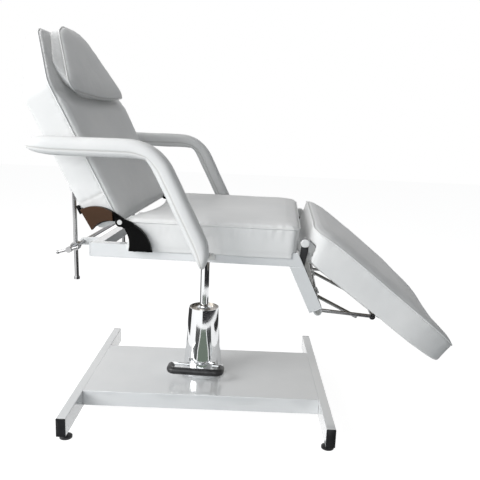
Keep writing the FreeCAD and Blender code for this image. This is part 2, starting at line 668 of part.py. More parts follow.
lock_tilt = math.radians(mm("lock_tilt"))
lock_middle = back_hinge + Vector(-math.cos(lock_tilt), 0, -math.sin(lock_tilt)) * mm("lock_reach")
lock_line = Vector(-math.sin(lock_tilt), 0, math.cos(lock_tilt))
shaft_axis = lock_middle - lock_line * mm("lock_half")
rod_pin = lock_middle + lock_line * mm("lock_half")


def rear_cross_tube():
    """A square tube between the rails, flush with their tops, with lugs that carry the clamp shaft."""
    wall = mm("tube_wall")
    side = mm("rear_tube")
    half = mm("frame_half") - mm("tube_w")
    rear = mm("rear_end") + mm("rear_tube_in")
    start = Vector(rear, -half, frame_top - side)
    outer = Part.makeBox(side, 2 * half, side, start)
    inner = side - 2 * wall
    hollow = Part.makeBox(inner, 2 * half, inner, start + Vector(wall, 0, wall))
    lugs = []
    for sign in (-1, 1):
        low = sign * mm("lug_y") - mm("lug_thick") / 2
        plate = prism([(rear, shaft_axis.z - 7), (rear, shaft_axis.z + 16),
                       (shaft_axis.x, shaft_axis.z + 11), (shaft_axis.x, shaft_axis.z - 11)],
                      low, low + mm("lug_thick"))
        end = Part.makeCylinder(11, mm("lug_thick"), Vector(shaft_axis.x, low, shaft_axis.z), Y_AXIS)
        lugs.append(plate.fuse(end))
    bore = Part.makeCylinder(mm("shaft_d") / 2 + mm("running_gap"), 2 * half,
                             Vector(shaft_axis.x, -half, shaft_axis.z), Y_AXIS)
    feature("rear_cross_tube", outer.cut(hollow).fuse(lugs).removeSplitter().cut(bore))


rear_cross_tube()


def tube_plugs():
    slack = mm("tube_wall") + mm("cap_slack")
    half = mm("frame_half")
    wide = mm("tube_w")
    plate = Part.makeBox(mm("plug_plate"), wide, mm("tube_h"),
                         Vector(mm("rear_end") - mm("plug_plate"), half - wide, frame_bottom))
    plug = Part.makeBox(mm("plug_depth"), wide - 2 * slack, mm("tube_h") - 2 * slack,
                        Vector(mm("rear_end"), half - wide + slack, frame_bottom + slack))
    rear = plate.fuse(plug)
    depth = mm("leg_depth")
    foot = Part.makeBox(mm("plug_plate"), mm("tube_w"), depth, Vector(0, half - mm("tube_w"), -depth / 2))
    insert = Part.makeBox(mm("plug_depth"), mm("tube_w") - 2 * slack, depth - 2 * slack,
                          Vector(-mm("plug_depth"), half - mm("tube_w") + slack, slack - depth / 2))
    toe = foot.fuse(insert)
    toe.Placement = Placement(leg_point(mm("leg_drop"), 0), Rotation(Y_AXIS, mm("leg_slope")))
    feature("tube_plugs", Part.makeCompound([both_sides(rear), both_sides(toe)]))


tube_plugs()


# Seat
# A cushion on a plywood board; its side skirts hang outside the rails and its rear edge is scooped.

def seat_points(level=0):
    half = seat_half
    front = mm("seat_front")
    rear = mm("seat_rear")
    return [(front, -half), (front, half), (rear, half), (rear, -half)]


def seat():
    corner = mm("seat_corner")
    radii = [corner * 0.7, corner * 0.7, corner, corner]
    scoop = {2: mm("seat_scoop")}
    edge = mm("seat_edge")
    crown = mm("crown")
    levels = [(-mm("seat_skirt"), 5), (edge * 0.5, 3), (edge, 0), (edge + crown * 0.5, 10),
              (edge + crown * 0.85, 40), (edge + crown, 100)]
    soft = padded_form(seat_points, radii, levels, scoop)
    board = board_form(offset_points(seat_points(), mm("board_inset")), radii, 0, mm("board_thick"), scoop)
    inner_y = mm("frame_half") + mm("arm_flange_t") + mm("soft_gap")
    under = Part.makeBox(1200, 2 * inner_y, 100, Vector(-600, -inner_y, -100))
    notches = []
    arm_fall = mm("arm_up") - mm("arm_tube_up")
    arm_foot = mm("arm_corner_x") + arm_fall / math.tan(math.radians(mm("arm_slope")))
    for start, end in ((-186, -108), (arm_foot - 40, arm_foot + 38)):
        for low in (mm("frame_half") - 3, -mm("frame_half") - 40):
            notches.append(Part.makeBox(end - start, 43, 106, Vector(start, low, -100)))
    feature("seat_cushion", soft.cut([board, under] + notches), Vector(0, 0, frame_top))
    feature("seat_board", board, Vector(0, 0, frame_top))


seat()


# Back section
# Built lying flat from its hinge towards the head end, then turned up to its resting slope.

def back_points(level=0):
    half = back_half
    wide = half + mm("back_flare")
    head = mm("head_half")
    end = mm("back_end")
    turn = mm("shoulder")
    return [(0, -half), (0, half), (-turn, wide), (-end, head), (-end, -head), (-turn, -wide)]


def back_section():
    radii = [24, 24, 60, 60, 60, 60]
    thick = mm("back_thick")
    crown = mm("back_crown")
    levels = [(-thick, 6), (-thick * 0.55, 3), (0, 0), (crown * 0.45, 4), (crown * 0.8, 15), (crown, 60)]
    soft = padded_form(back_points, radii, levels)
    board = board_form(offset_points(back_points(), mm("board_inset")), radii, -thick, mm("board_thick"))
    bevel = mm("back_bevel_run")
    wedge = prism([(0, -thick - 1), (0, mm("back_bevel") - thick), (-bevel, -thick), (-bevel, -thick - 1)],
                  -400, 400)
    past_end = -mm("back_end") - 10
    thin = prism([(-mm("thin_from"), -thick), (-mm("thin_from"), -thick - 1), (past_end, -thick - 1),
                  (past_end, mm("head_thin") - thick)], -400, 400)
    start = mm("flat_from")
    flat = prism([(50 - start, crown), (50 - start, crown + 1), (past_end, crown + 1),
                  (past_end, mm("head_flat")), (-start, mm("head_flat"))], -400, 400)
    past = Part.makeBox(400, 800, 400, Vector(8 - mm("thin_from") - 400, -400, -200))
    board = board.cut([wedge, past])
    feature("back_cushion", soft.cut([board, wedge, thin, flat]), back_seat, mm("back_angle"))
    feature("back_board", board, back_seat, mm("back_angle"))


back_section()


def pillow_points(level):
    """The pillow's outline: wider at its front rim than where it lies on the back."""
    low = mm("head_flat") + mm("soft_gap")
    share = min(1, (level - low) / (0.75 * mm("pillow_thick")))

    def between(under, front):
        return mm(under) + (mm(front) - mm(under)) * share

    near = -between("under_from", "pillow_from")
    wide = -between("under_wide_at", "pillow_wide_at")
    middle = -mm("pillow_mid_at")
    far = -mm("pillow_to")
    half = between("under_half", "pillow_half")
    low_half = between("under_low_half", "pillow_low_half")
    mid_half = between("under_mid_half", "pillow_mid_half")
    top_half = between("under_top_half", "pillow_top_half")
    return [(near, -low_half), (near, low_half), (wide, half), (middle, mid_half),
            (far, top_half), (far, -top_half), (middle, -mid_half), (wide, -half)]


def head_pillow():
    low = mm("head_flat") + mm("soft_gap")
    thick = mm("pillow_thick")
    levels = [(low, 7), (low + thick * 0.25, 0), (low + thick * 0.75, 0), (low + thick * 0.93, 6),
              (low + thick, 15)]
    soft = padded_form(pillow_points, [40, 40, 34, 70, 40, 40, 70, 34], levels)
    feature("head_pillow", soft, back_seat, mm("back_angle"))


head_pillow()


# Leg section
# Built lying flat from its hinge towards the foot end, then turned down to its resting slope.

def leg_points(level):
    half = leg_half
    end = mm("leg_end")
    tuck = mm("leg_undercut") * (mm("leg_top") - level) / (mm("leg_top") + mm("leg_under"))
    start = mm("leg_start") + max(tuck, 0)
    return [(start, -half), (mm("taper_from"), -half), (end - 24, -foot_half), (end, -foot_half * 0.5),
            (end, foot_half * 0.5), (end - 24, foot_half), (mm("taper_from"), half), (start, half)]


def leg_section():
    radii = [45, 60, 34, 60, 60, 34, 60, 45]
    under = mm("leg_under")
    top = mm("leg_top")
    crown = mm("crown")
    levels = [(-under, 5), (top * 0.2, 3), (top, 0), (top + crown * 0.5, 10), (top + crown * 0.85, 36),
              (top + crown, 90)]
    soft = padded_form(leg_points, radii, levels)
    high = top + crown + 1
    end = mm("leg_end")
    fall = prism([(end - mm("foot_drop_run"), high), (end - mm("foot_drop_run"), top + crown),
                  (end + 20, top + crown - mm("foot_drop") * (1 + 20 / mm("foot_drop_run"))),
                  (end + 20, high)],
                 -400, 400)
    soft = soft.cut(fall)
    edge = offset_points(leg_points(-under), mm("board_inset"))
    board = board_form(edge, radii, -under, mm("board_thick"))
    outer_y = mm("frame_half")
    notch = Part.makeBox(138, mm("tube_w"), under + 13, Vector(-40, outer_y - mm("tube_w"), -under - 1))
    soft = soft.cut([board, notch, notch.mirror(Vector(), Y_AXIS)])
    feature("leg_cushion", soft, leg_hinge, mm("leg_angle"))
    feature("leg_board", board, leg_hinge, mm("leg_angle"))


leg_section()


# Back hinge
# On each side a seat plate and a back plate share one pivot bolt, and each wears its own moulded cover.

back_plate_y = back_half + mm("plate_clear")
seat_plate_y = back_plate_y + mm("plate") + mm("plate_gap")


def horn(start, edges, low, thick):
    """A curved plate: every edge runs to its last point, through the first when it is an arc."""
    here = Vector(start[0], low, start[1])
    outline = []
    for points in edges:
        corners = [Vector(x, low, z) for x, z in points]
        if len(corners) == 2:
            outline.append(Part.Arc(here, corners[0], corners[1]).toShape())
        else:
            outline.append(Part.LineSegment(here, corners[0]).toShape())
        here = corners[-1]
    return Part.Face(Part.Wire(outline)).extrude(Vector(0, thick, 0))


def back_side_hinge():
    """The back plate in the back's own flat frame, where x runs down the back."""
    outline = [((-19, -55), (-12, -83)), ((-78, -87),), ((-70.6, -48), (-34.5, -6)),
               ((-7, 12),), ((-8, -16),)]
    plate = horn((-8, -16), outline, back_plate_y, mm("plate"))
    knuckle = Part.makeCylinder(mm("knuckle"), mm("plate"), Vector(0, back_plate_y, 0), Y_AXIS)
    under = -mm("back_thick") - mm("back_set")
    flange = Part.makeBox(24, 42, 4, Vector(-92, back_plate_y + mm("plate") - 42, under - 4))
    web = Part.makeBox(14, mm("plate"), -80 - under + 4, Vector(-80, back_plate_y, under - 4))
    free = mm("pivot_d") / 2 + mm("running_gap")
    bore = Part.makeCylinder(free, 60, Vector(0, back_plate_y - 20, 0), Y_AXIS)
    whole = plate.fuse([knuckle, flange, web]).removeSplitter().cut(bore)
    feature("back_hinge_plates", both_sides(whole), back_hinge, mm("back_angle"))
    shell = [((-22, -55), (-12, -83)), ((-78, -87),), ((-70.6, -48), (-34.5, -7)), ((-11, -17),)]
    cover = horn((-11, -17), shell, back_plate_y + mm("plate") + 0.1, mm("cover_thick"))
    feature("back_hinge_covers", both_sides(cover), back_hinge, mm("back_angle"))


back_side_hinge()
foot_bolts = [(40, -74), (78, -74)]


def seat_side_plate(length):
    """The seat plate, measured from the pivot, with bosses that stand it off the rail."""
    outline = [((42, -6),), ((69, -28), (89, -72)), ((92, -82),), ((23, -82),),
               ((27, -72),), ((27, -47), (14, -18))]
    plate = horn((14, -18), outline, seat_plate_y, mm("plate"))
    knuckle = Part.makeCylinder(mm("knuckle"), mm("plate"), Vector(0, seat_plate_y, 0), Y_AXIS)
    neck = prism([(2, -13), (9, 10), (34, 1), (42, -8), (16, -20)], seat_plate_y, seat_plate_y + mm("plate"))
    bosses = []
    holes = [Part.makeCylinder(mm("pivot_d") / 2, 60, Vector(0, seat_plate_y - 20, 0), Y_AXIS)]
    for x, z in foot_bolts:
        foot = Vector(x, mm("frame_half"), z)
        bosses.append(Part.makeCylinder(mm("boss_d") / 2, length, foot, Y_AXIS))
        holes.append(Part.makeCylinder(mm("mount_bolt_d") / 2, 60, foot - Y_AXIS * 10, Y_AXIS))
    return plate.fuse([knuckle, neck] + bosses).removeSplitter().cut(holes)


def seat_side_hinge():
    length = seat_plate_y - mm("frame_half")
    feature("seat_hinge_plates", both_sides(seat_side_plate(length)), back_hinge)
    cover_y = seat_plate_y + mm("plate") + 0.1
    shell = [((42, -7),), ((69, -28), (89.5, -76)), ((26, -76),), ((27, -47), (15, -19))]
    feature("seat_hinge_covers", both_sides(horn((15, -19), shell, cover_y, mm("cover_thick"))), back_hinge)
    pivot = Part.makeCylinder(mm("pivot_d") / 2, 2 * mm("plate") + mm("plate_gap"),
                              Vector(0, back_plate_y, 0), Y_AXIS)
    head = Part.makeCylinder(mm("pivot_d") * 0.7, 5, Vector(0, cover_y, 0), Y_AXIS)
    feature("back_pivot_bolts", both_sides(pivot.fuse(head)), back_hinge)
    screws = []
    for x, z in foot_bolts:
        foot = Vector(x, mm("frame_half"), z)
        shank = Part.makeCylinder(mm("mount_bolt_d") / 2, length + mm("plate"), foot, Y_AXIS)
        screws.append(both_sides(shank))
    feature("hinge_foot_bolts", Part.makeCompound(screws), back_hinge)


seat_side_hinge()


# Back adjuster
# Two rods hang from the back and slide through the drilled heads of a shaft behind the frame.

def lock_rods():
    eye_r = mm("lock_rod_d") / 2 - 0.5
    eye = Part.makeCylinder(eye_r, 10, Vector(0, lock_y - 5, 0), Y_AXIS)
    length = 2 * mm("lock_half") + mm("lock_tail")
    neck = rod(2 * eye_r - 2, Vector(0, lock_y, 0), Vector(0, lock_y, -14))
    bar = rod(mm("lock_rod_d"), Vector(0, lock_y, -12), Vector(0, lock_y, -length))
    stop = rod(mm("lock_rod_d") + 5, Vector(0, lock_y, -length), Vector(0, lock_y, -length - 8))
    hole = Part.makeCylinder(mm("eye_pin_d") / 2 + mm("running_gap"), 40, Vector(0, lock_y - 20, 0), Y_AXIS)
    whole = eye.fuse([neck, bar, stop]).removeSplitter().cut(hole)
    feature("back_lock_rods", both_sides(whole), rod_pin, -mm("lock_tilt"))


lock_rods()


def rod_brackets():
    """Ears on the back board that hold the rods' pins, in the back's own flat frame."""
    turn = Rotation(Y_AXIS, -mm("back_angle"))
    pin = turn.multVec(rod_pin - back_hinge)
    face = -mm("back_thick") - mm("back_set")
    ears = []
    for offset in (-8 - mm("ear_thick"), 8):
        low = lock_y + offset
        plate = prism([(pin.x - 16, face), (pin.x + 16, face),
                       (pin.x + 6, pin.z - 7), (pin.x - 6, pin.z - 7)],
                      low, low + mm("ear_thick"))
        ears.append(plate)
    seat = Part.makeBox(32, 43, 3, Vector(pin.x + 12, lock_y - 30, face - 3))
    length = 16 + 2 * mm("ear_thick")
    cross = Part.makeCylinder(mm("eye_pin_d") / 2, length, Vector(pin.x, lock_y - length / 2, pin.z), Y_AXIS)
    whole = seat.fuse(ears + [cross]).removeSplitter()
    feature("rod_brackets", both_sides(whole), back_hinge, mm("back_angle"))


rod_brackets()


def clamp_shaft():
    half = lock_y - mm("head_w") / 2
    shaft = rod(mm("shaft_d"), Vector(0, -half, 0), Vector(0, half, 0))
    heads = []
    bores = []
    for sign in (-1, 1):
        low = sign * lock_y - mm("head_w") / 2
        heads.append(Part.makeCylinder(mm("head_d") / 2, mm("head_w"), Vector(0, low, 0), Y_AXIS))
        bores.append(rod(mm("lock_rod_d") + 2 * mm("running_gap"), Vector(0, sign * lock_y, -40),
                         Vector(0, sign * lock_y, 40)))
    feature("back_clamp_shaft", shaft.fuse(heads).removeSplitter().cut(bores), shaft_axis, -mm("lock_tilt"))


clamp_shaft()


def clamp_levers():
    start = lock_y + mm("head_w") / 2 + 0.3
    screw = rod(mm("screw_d"), Vector(0, start, 0), Vector(0, tommy_y, 0))
    boss = rod(mm("screw_head_d"), Vector(0, tommy_y - 8, 0), Vector(0, tommy_y + 8, 0))
    lean = math.radians(mm("tommy_slope"))
    along = Vector(math.cos(lean), 0, math.sin(lean))
    middle = Vector(0, tommy_y, 0)
    ends = [middle - along * mm("tommy_rear"), middle + along * mm("tommy_front")]
    bar = rod(mm("tommy_d"), ends[0], ends[1])
    knobs = [Part.makeSphere(mm("tommy_d") * 0.7, end) for end in ends]
    lever = screw.fuse([boss, bar] + knobs).removeSplitter()
    feature("back_lever_left", lever, shaft_axis)
    feature("back_lever_right", lever.mirror(Vector(), Y_AXIS), shaft_axis)


clamp_levers()


# Leg hinge and adjuster
# Lugs on the frame carry the leg section; a stay on each side swings up and its pin runs in a slot.

def leg_hinge_parts():
    lug_low = mm("frame_half") - 16
    nose_z = frame_top - 10 - leg_hinge.z
    nose_x = rail_nose + 10 / math.tan(slope) - leg_hinge.x
    foot_x = rail_foot - leg_hinge.x
    foot_z = frame_bottom - leg_hinge.z
    lug = prism([(foot_x, foot_z), (nose_x, nose_z), (-10, -14), (-10, 0), (10, 0), (10, -24)],
                lug_low, lug_low + 8)
    eye = Part.makeCylinder(10, 8, Vector(0, lug_low, 0), Y_AXIS)
    tight = Part.makeCylinder(5, 60, Vector(0, lug_low - 30, 0), Y_AXIS)
    feature("leg_hinge_brackets", both_sides(lug.fuse(eye).removeSplitter().cut(tight)), leg_hinge)
    plate_low = lug_low - 10
    rest = mm("board_thick") - mm("leg_under")
    plate = prism([(0, -10), (56, rest), (94, rest), (94, 0), (60, 8), (0, 10)], plate_low, plate_low + 8)
    knuckle = Part.makeCylinder(10, 8, Vector(0, plate_low, 0), Y_AXIS)
    free = Part.makeCylinder(5 + mm("running_gap"), 60, Vector(0, plate_low - 30, 0), Y_AXIS)
    whole = plate.fuse(knuckle).removeSplitter().cut(free)
    feature("leg_hinge_plates", both_sides(whole), leg_hinge, mm("leg_angle"))
    pin = rod(10, Vector(0, plate_low - 1, 0), Vector(0, lug_low + 8, 0))
    head = rod(15, Vector(0, lug_low + 8, 0), Vector(0, lug_low + 12, 0))
    feature("leg_hinge_pins", both_sides(pin.fuse(head)), leg_hinge)


leg_hinge_parts()


def slot_plates():
    """Angles under the leg board; each has a long slot for a stay's pin."""
    low_y = mm("slot_y")
    thick = mm("side_plate")
    under = -mm("leg_under")
    level = -mm("slot_level")
    start = mm("slot_from") - 14
    length = mm("slot_to") - mm("slot_from") + 28
    web = Part.makeBox(length, thick, under - level + 13, Vector(start, low_y, level - 13))
    flange = Part.makeBox(length, 20, 3, Vector(start, low_y, under - 3))
    half = mm("stay_pin_d") / 2 + mm("slot_slack")
    slot = Part.makeBox(mm("slot_to") - mm("slot_from") - 2 * half, 4 * thick, 2 * half,
                        Vector(mm("slot_from") + half, low_y - thick, level - half))
    ends = [Part.makeCylinder(half, 4 * thick, Vector(x, low_y - thick, level), Y_AXIS)
            for x in (mm("slot_from") + half, mm("slot_to") - half)]
    feature("leg_slot_plates", both_sides(web.fuse(flange).removeSplitter().cut([slot] + ends)),
            leg_hinge, mm("leg_angle"))


slot_plates()


def leg_stays():
    eye = mm("stay_eye_d") / 2
    y = stay_y
    length = mm("stay_length")
    eyes = [Part.makeCylinder(radius, 8, Vector(x, y - 4, 0), Y_AXIS)
            for x, radius in ((0, eye), (length, eye - 2))]
    bar = rod(mm("stay_d"), Vector(eye - 2, y, 0), Vector(length - 6, y, 0))
    hole = Part.makeCylinder(mm("stay_pin_d") / 2 + mm("running_gap"), 40, Vector(0, y - 20, 0), Y_AXIS)
    pin = rod(mm("stay_pin_d"), Vector(length, mm("slot_y") - 4, 0), Vector(length, y, 0))
    washer = Part.makeCylinder(mm("stay_pin_d"), 2.5, Vector(length, mm("slot_y") + mm("side_plate") + 0.6, 0), Y_AXIS)
    whole = bar.fuse(eyes + [pin, washer]).removeSplitter().cut(hole)
    feature("leg_stays", both_sides(whole), stay_pivot, -mm("stay_rest"))
    inner = y - 5
    outer = mm("frame_half") - mm("tube_w")
    bolt = rod(mm("stay_pin_d"), Vector(0, inner, 0), Vector(0, outer, 0))
    collar = rod(14, Vector(0, y + 4.4, 0), Vector(0, outer - mm("tab_thick"), 0))
    head = rod(14, Vector(0, outer, 0), Vector(0, outer + 6, 0))
    clip = rod(13, Vector(0, inner - 2, 0), Vector(0, inner + 0.6, 0))
    feature("stay_pivot_bolts", both_sides(bolt.fuse([collar, head, clip]).removeSplitter()), stay_pivot)


leg_stays()
release_axis = bar_centre + leg_along * (mm("bar_side") / 2 + mm("release_drop")) + leg_across * 8


def release_levers():
    half = mm("lever_shaft_half")
    shaft = rod(mm("lever_d"), Vector(0, -half, 0), Vector(0, half, 0))
    levers = []
    for sign in (-1, 1):
        root = Vector(0, sign * mm("lever_y"), 0)
        tip = Vector(mm("lever_length"), sign * mm("lever_y"), 0)
        slim = mm("lever_d") - 1
        levers.append(rod(slim, root, tip))
        levers.append(Part.makeCone(slim / 2, slim / 2 - 2, 2.5, tip, X_AXIS))
    feature("leg_release_levers", shaft.fuse(levers).removeSplitter(), release_axis, mm("lever_slope"))
    thick = 6
    drop = mm("bar_side") / 2
    hangers = []
    for sign in (-1, 1):
        low = sign * 110 - thick / 2
        plate = Part.makeBox(mm("release_drop") + 8, thick, 22, Vector(drop, low, -3))
        bore = Part.makeCylinder(mm("lever_d") / 2 + mm("running_gap"), 4 * thick,
                                 Vector(drop + mm("release_drop"), low - thick, 8), Y_AXIS)
        hangers.append(plate.cut(bore))
    feature("lever_hangers", Part.makeCompound(hangers), bar_centre, mm("leg_slope"))


release_levers()


# Armrests
# A steel core on a welded tube stub is bolted to each rail and wrapped in a padded cover.

arm_slope = math.radians(mm("arm_slope"))
arm_level = frame_bottom + mm("arm_up")
arm_down = Vector(math.cos(arm_slope), 0, -math.sin(arm_slope))


def arm_path(rear_x, low_z):
    """The armrest's middle line: along the top, round the bend, and down to its foot."""
    corner = Vector(mm("arm_corner_x"), arm_y, arm_level)
    reach = mm("arm_bend") * math.tan(arm_slope / 2)
    start = corner - X_AXIS * reach
    end = corner + arm_down * reach
    inward = (arm_down - X_AXIS).normalize()
    middle = corner + inward * (mm("arm_bend") / math.cos(arm_slope / 2) - mm("arm_bend"))
    foot = corner + arm_down * ((arm_level - low_z) / math.sin(arm_slope))
    return Part.Wire([Part.LineSegment(Vector(rear_x, arm_y, arm_level), start).toShape(),
                      Part.Arc(start, middle, end).toShape(),
                      Part.LineSegment(end, foot).toShape()])


def arm_section(x, width, height, corner):
    """An upright rounded rectangle across the armrest's top run."""
    points = [Vector(-width / 2, -height / 2, 0), Vector(width / 2, -height / 2, 0),
              Vector(width / 2, height / 2, 0), Vector(-width / 2, height / 2, 0)]
    wire = rounded_outline(points, [corner] * 4, 0)
    turned = Placement(Vector(x, arm_y, arm_level), Rotation(Vector(0, 1, 0), Z_AXIS, X_AXIS, "ZXY"))
    wire.Placement = turned
    return wire


def armrests():
    wide = mm("arm_w")
    thick = mm("arm_t")
    corner = mm("arm_round")
    foot_z = frame_bottom + mm("arm_foot_up")
    tip_x = mm("arm_rear") + mm("tip_length")
    run = arm_path(tip_x, foot_z).makePipeShell([arm_section(tip_x, wide, thick, corner)], True, False)
    sections = [arm_section(tip_x - mm("tip_length") * share, wide * size, thick * size, corner * size)
                for share, size in ((0, 1.0), (0.4, 0.93), (0.75, 0.74), (1.0, 0.42))]
    tip = Part.makeLoft(sections, True, True)
    foot = Vector(mm("arm_corner_x") + (arm_level - foot_z) / math.tan(arm_slope), arm_y, foot_z)
    ends = []
    for share, size in ((0, 1.0), (0.5, 0.92), (0.85, 0.76), (1.0, 0.58)):
        section = arm_section(0, wide * size, thick * size, corner * size)
        level = Placement(Vector(0, -arm_y, -arm_level), Rotation())
        turned = Placement(foot + arm_down * (mm("foot_tip") * share), Rotation(Y_AXIS, mm("arm_slope")))
        section.Placement = turned.multiply(level).multiply(section.Placement)
        ends.append(section)
    toe = Part.makeLoft(ends, True, True)
    core_path = arm_path(tip_x + 20, foot_z)
    core = core_path.makePipeShell([arm_section(tip_x + 20, mm("core_t"), mm("core_w"), 1)], True, False)
    stub_z = frame_bottom + mm("arm_tube_up")
    stub_x = mm("arm_corner_x") + (arm_level - stub_z) / math.tan(arm_slope)
    stub = rod(mm("arm_tube_d"), Vector(stub_x, mm("frame_half") + mm("arm_flange_t"), stub_z),
               Vector(stub_x, arm_y, stub_z))
    flange_start = Vector(stub_x - mm("arm_flange") / 2, mm("frame_half"), stub_z - mm("arm_flange_h") / 2)
    flange = Part.makeBox(mm("arm_flange"), mm("arm_flange_t"), mm("arm_flange_h"), flange_start)
    screws = []
    holes = []
    for sign in (-1, 1):
        at = Vector(stub_x + sign * (mm("arm_flange") / 2 - 7), mm("frame_half"), stub_z)
        shank = Part.makeCylinder(mm("arm_bolt_d") / 2, mm("arm_flange_t"), at, Y_AXIS)
        head = Part.makeCylinder(mm("arm_bolt_d") * 0.85, 4, at + Y_AXIS * mm("arm_flange_t"), Y_AXIS)
        screws.append(both_sides(shank.fuse(head)))
        holes.append(Part.makeCylinder(mm("arm_bolt_d") / 2, 20, at - Y_AXIS * 5, Y_AXIS))
    steel = core.fuse([stub, flange.cut(holes)]).removeSplitter()
    pad = run.fuse([tip, toe]).removeSplitter().cut(steel)
    for side, sign in SIDES:
        feature(f"arm_core_{side}", steel if sign > 0 else steel.mirror(Vector(), Y_AXIS))
        feature(f"arm_pad_{side}", pad if sign > 0 else pad.mirror(Vector(), Y_AXIS))
    feature("arm_bolts", Part.makeCompound(screws))


armrests()


# Check every piece, then write one file for each
doc.recompute()
for obj in doc.Objects:
    if "Invalid" in obj.State or "Error" in obj.State:
        raise RuntimeError(f"{obj.Label} did not rebuild")
for obj in nodes:
    if obj.Shape.isNull() or not obj.Shape.isValid():
        raise RuntimeError(f"{obj.Label} has no valid shape")
    obj.Shape.exportStep(f"parts/{obj.Label}.step")
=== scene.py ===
import json
import math

import bmesh
import bpy
import numpy as np
from mathutils import Matrix, Vector, kdtree, noise


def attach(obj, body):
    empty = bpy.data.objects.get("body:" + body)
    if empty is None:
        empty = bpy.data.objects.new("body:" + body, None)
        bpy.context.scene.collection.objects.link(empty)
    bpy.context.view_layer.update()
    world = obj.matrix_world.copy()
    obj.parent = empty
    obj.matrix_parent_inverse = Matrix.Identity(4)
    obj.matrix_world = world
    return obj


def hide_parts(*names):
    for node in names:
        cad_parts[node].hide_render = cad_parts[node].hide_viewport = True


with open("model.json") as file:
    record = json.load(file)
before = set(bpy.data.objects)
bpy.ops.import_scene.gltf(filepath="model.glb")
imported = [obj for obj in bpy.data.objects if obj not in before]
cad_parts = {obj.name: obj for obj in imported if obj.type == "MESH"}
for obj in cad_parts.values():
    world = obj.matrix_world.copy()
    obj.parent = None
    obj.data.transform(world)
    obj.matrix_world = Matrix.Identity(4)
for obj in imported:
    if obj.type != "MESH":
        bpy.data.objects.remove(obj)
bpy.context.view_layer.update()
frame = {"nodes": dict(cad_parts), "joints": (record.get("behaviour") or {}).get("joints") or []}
nodes = frame["nodes"]
pivots = {joint["name"]: Vector(joint["pos_m"]) for joint in frame["joints"] if joint.get("pos_m")}

# Studio
# A white sweep lit by one large soft window to the left of the camera, a weak fill and a lamp overhead.
# Dark glowing sheets that only reflections see paint dark reflections into the metal. The camera stands
# where the photographer stood.
scene = bpy.context.scene
scene.view_settings.view_transform = "Standard"


def look_along(right, up, forward, place):
    """A camera's matrix from the directions of its picture and its place."""
    axes = [Vector(right).normalized(), Vector(up).normalized(), -Vector(forward).normalized()]
    turn = Matrix(axes).transposed().to_4x4()
    return Matrix.Translation(place) @ turn


lens = bpy.data.cameras.new("studio_camera")
lens.lens = 43.83
lens.sensor_width = 36.0
camera = bpy.data.objects.new("studio_camera", lens)
camera.matrix_world = look_along((0.99656, 0.07410, 0.03715), (-0.05087, 0.19282, 0.97991),
                                 (-0.06545, 0.97843, -0.19593), (0.10946, -1.90191, 0.93416))
scene.collection.objects.link(camera)
scene.camera = camera


def soft_window(name, place, aim, size, watts, tint):
    lamp = bpy.data.lights.new(name, "AREA")
    lamp.shape = "RECTANGLE"
    lamp.size, lamp.size_y = size
    lamp.energy = watts
    lamp.color = tint
    window = bpy.data.objects.new(name, lamp)
    window.location = place
    window.rotation_euler = (Vector(aim) - Vector(place)).to_track_quat("-Z", "Y").to_euler()
    scene.collection.objects.link(window)


soft_window("window_left", (-3.2, -2.5, 2.2), (-0.1, 0.0, 0.5), (2.6, 2.4), 128, (1.0, 1.0, 1.0))
soft_window("fill_front", (-0.5, -3.4, 1.2), (0.0, 0.0, 0.5), (2.2, 1.6), 31, (0.95, 0.98, 1.0))
soft_window("overhead", (-1.1, 0.3, 2.8), (-0.1, 0.0, 0.5), (2.0, 1.8), 17, (1.0, 1.0, 1.0))


def seen_directly(tree):
    """1 for what the camera, polished metal and glass see, and 0 for the light that the studio gives."""
    path = tree.nodes.new("ShaderNodeLightPath")
    first = tree.nodes.new("ShaderNodeMath")
    first.operation = "MAXIMUM"
    tree.links.new(path.outputs["Is Camera Ray"], first.inputs[0])
    tree.links.new(path.outputs["Is Glossy Ray"], first.inputs[1])
    both = tree.nodes.new("ShaderNodeMath")
    both.operation = "MAXIMUM"
    tree.links.new(first.outputs[0], both.inputs[0])
    tree.links.new(path.outputs["Is Transmission Ray"], both.inputs[1])
    return both.outputs[0]


world = bpy.data.worlds.new("studio_air")
scene.world = world
world.use_nodes = True
air = world.node_tree
air.nodes.clear()
air_light = air.nodes.new("ShaderNodeBackground")
air_light.inputs["Color"].default_value = (0.93, 0.97, 1.0, 1.0)
air_light.inputs["Strength"].default_value = 0.15
air_white = air.nodes.new("ShaderNodeBackground")
air_white.inputs["Color"].default_value = (1.0, 1.0, 1.0, 1.0)
air_white.inputs["Strength"].default_value = 1.0
air_mix = air.nodes.new("ShaderNodeMixShader")
air_out = air.nodes.new("ShaderNodeOutputWorld")
air.links.new(seen_directly(air), air_mix.inputs[0])
air.links.new(air_light.outputs[0], air_mix.inputs[1])
air.links.new(air_white.outputs[0], air_mix.inputs[2])
air.links.new(air_mix.outputs[0], air_out.inputs["Surface"])


def flat_sheet(name, corners, faces):
    mesh = bpy.data.meshes.new(name)
    mesh.from_pydata(corners, [], faces)
    sheet = bpy.data.objects.new(name, mesh)
    scene.collection.objects.link(sheet)
    return sheet


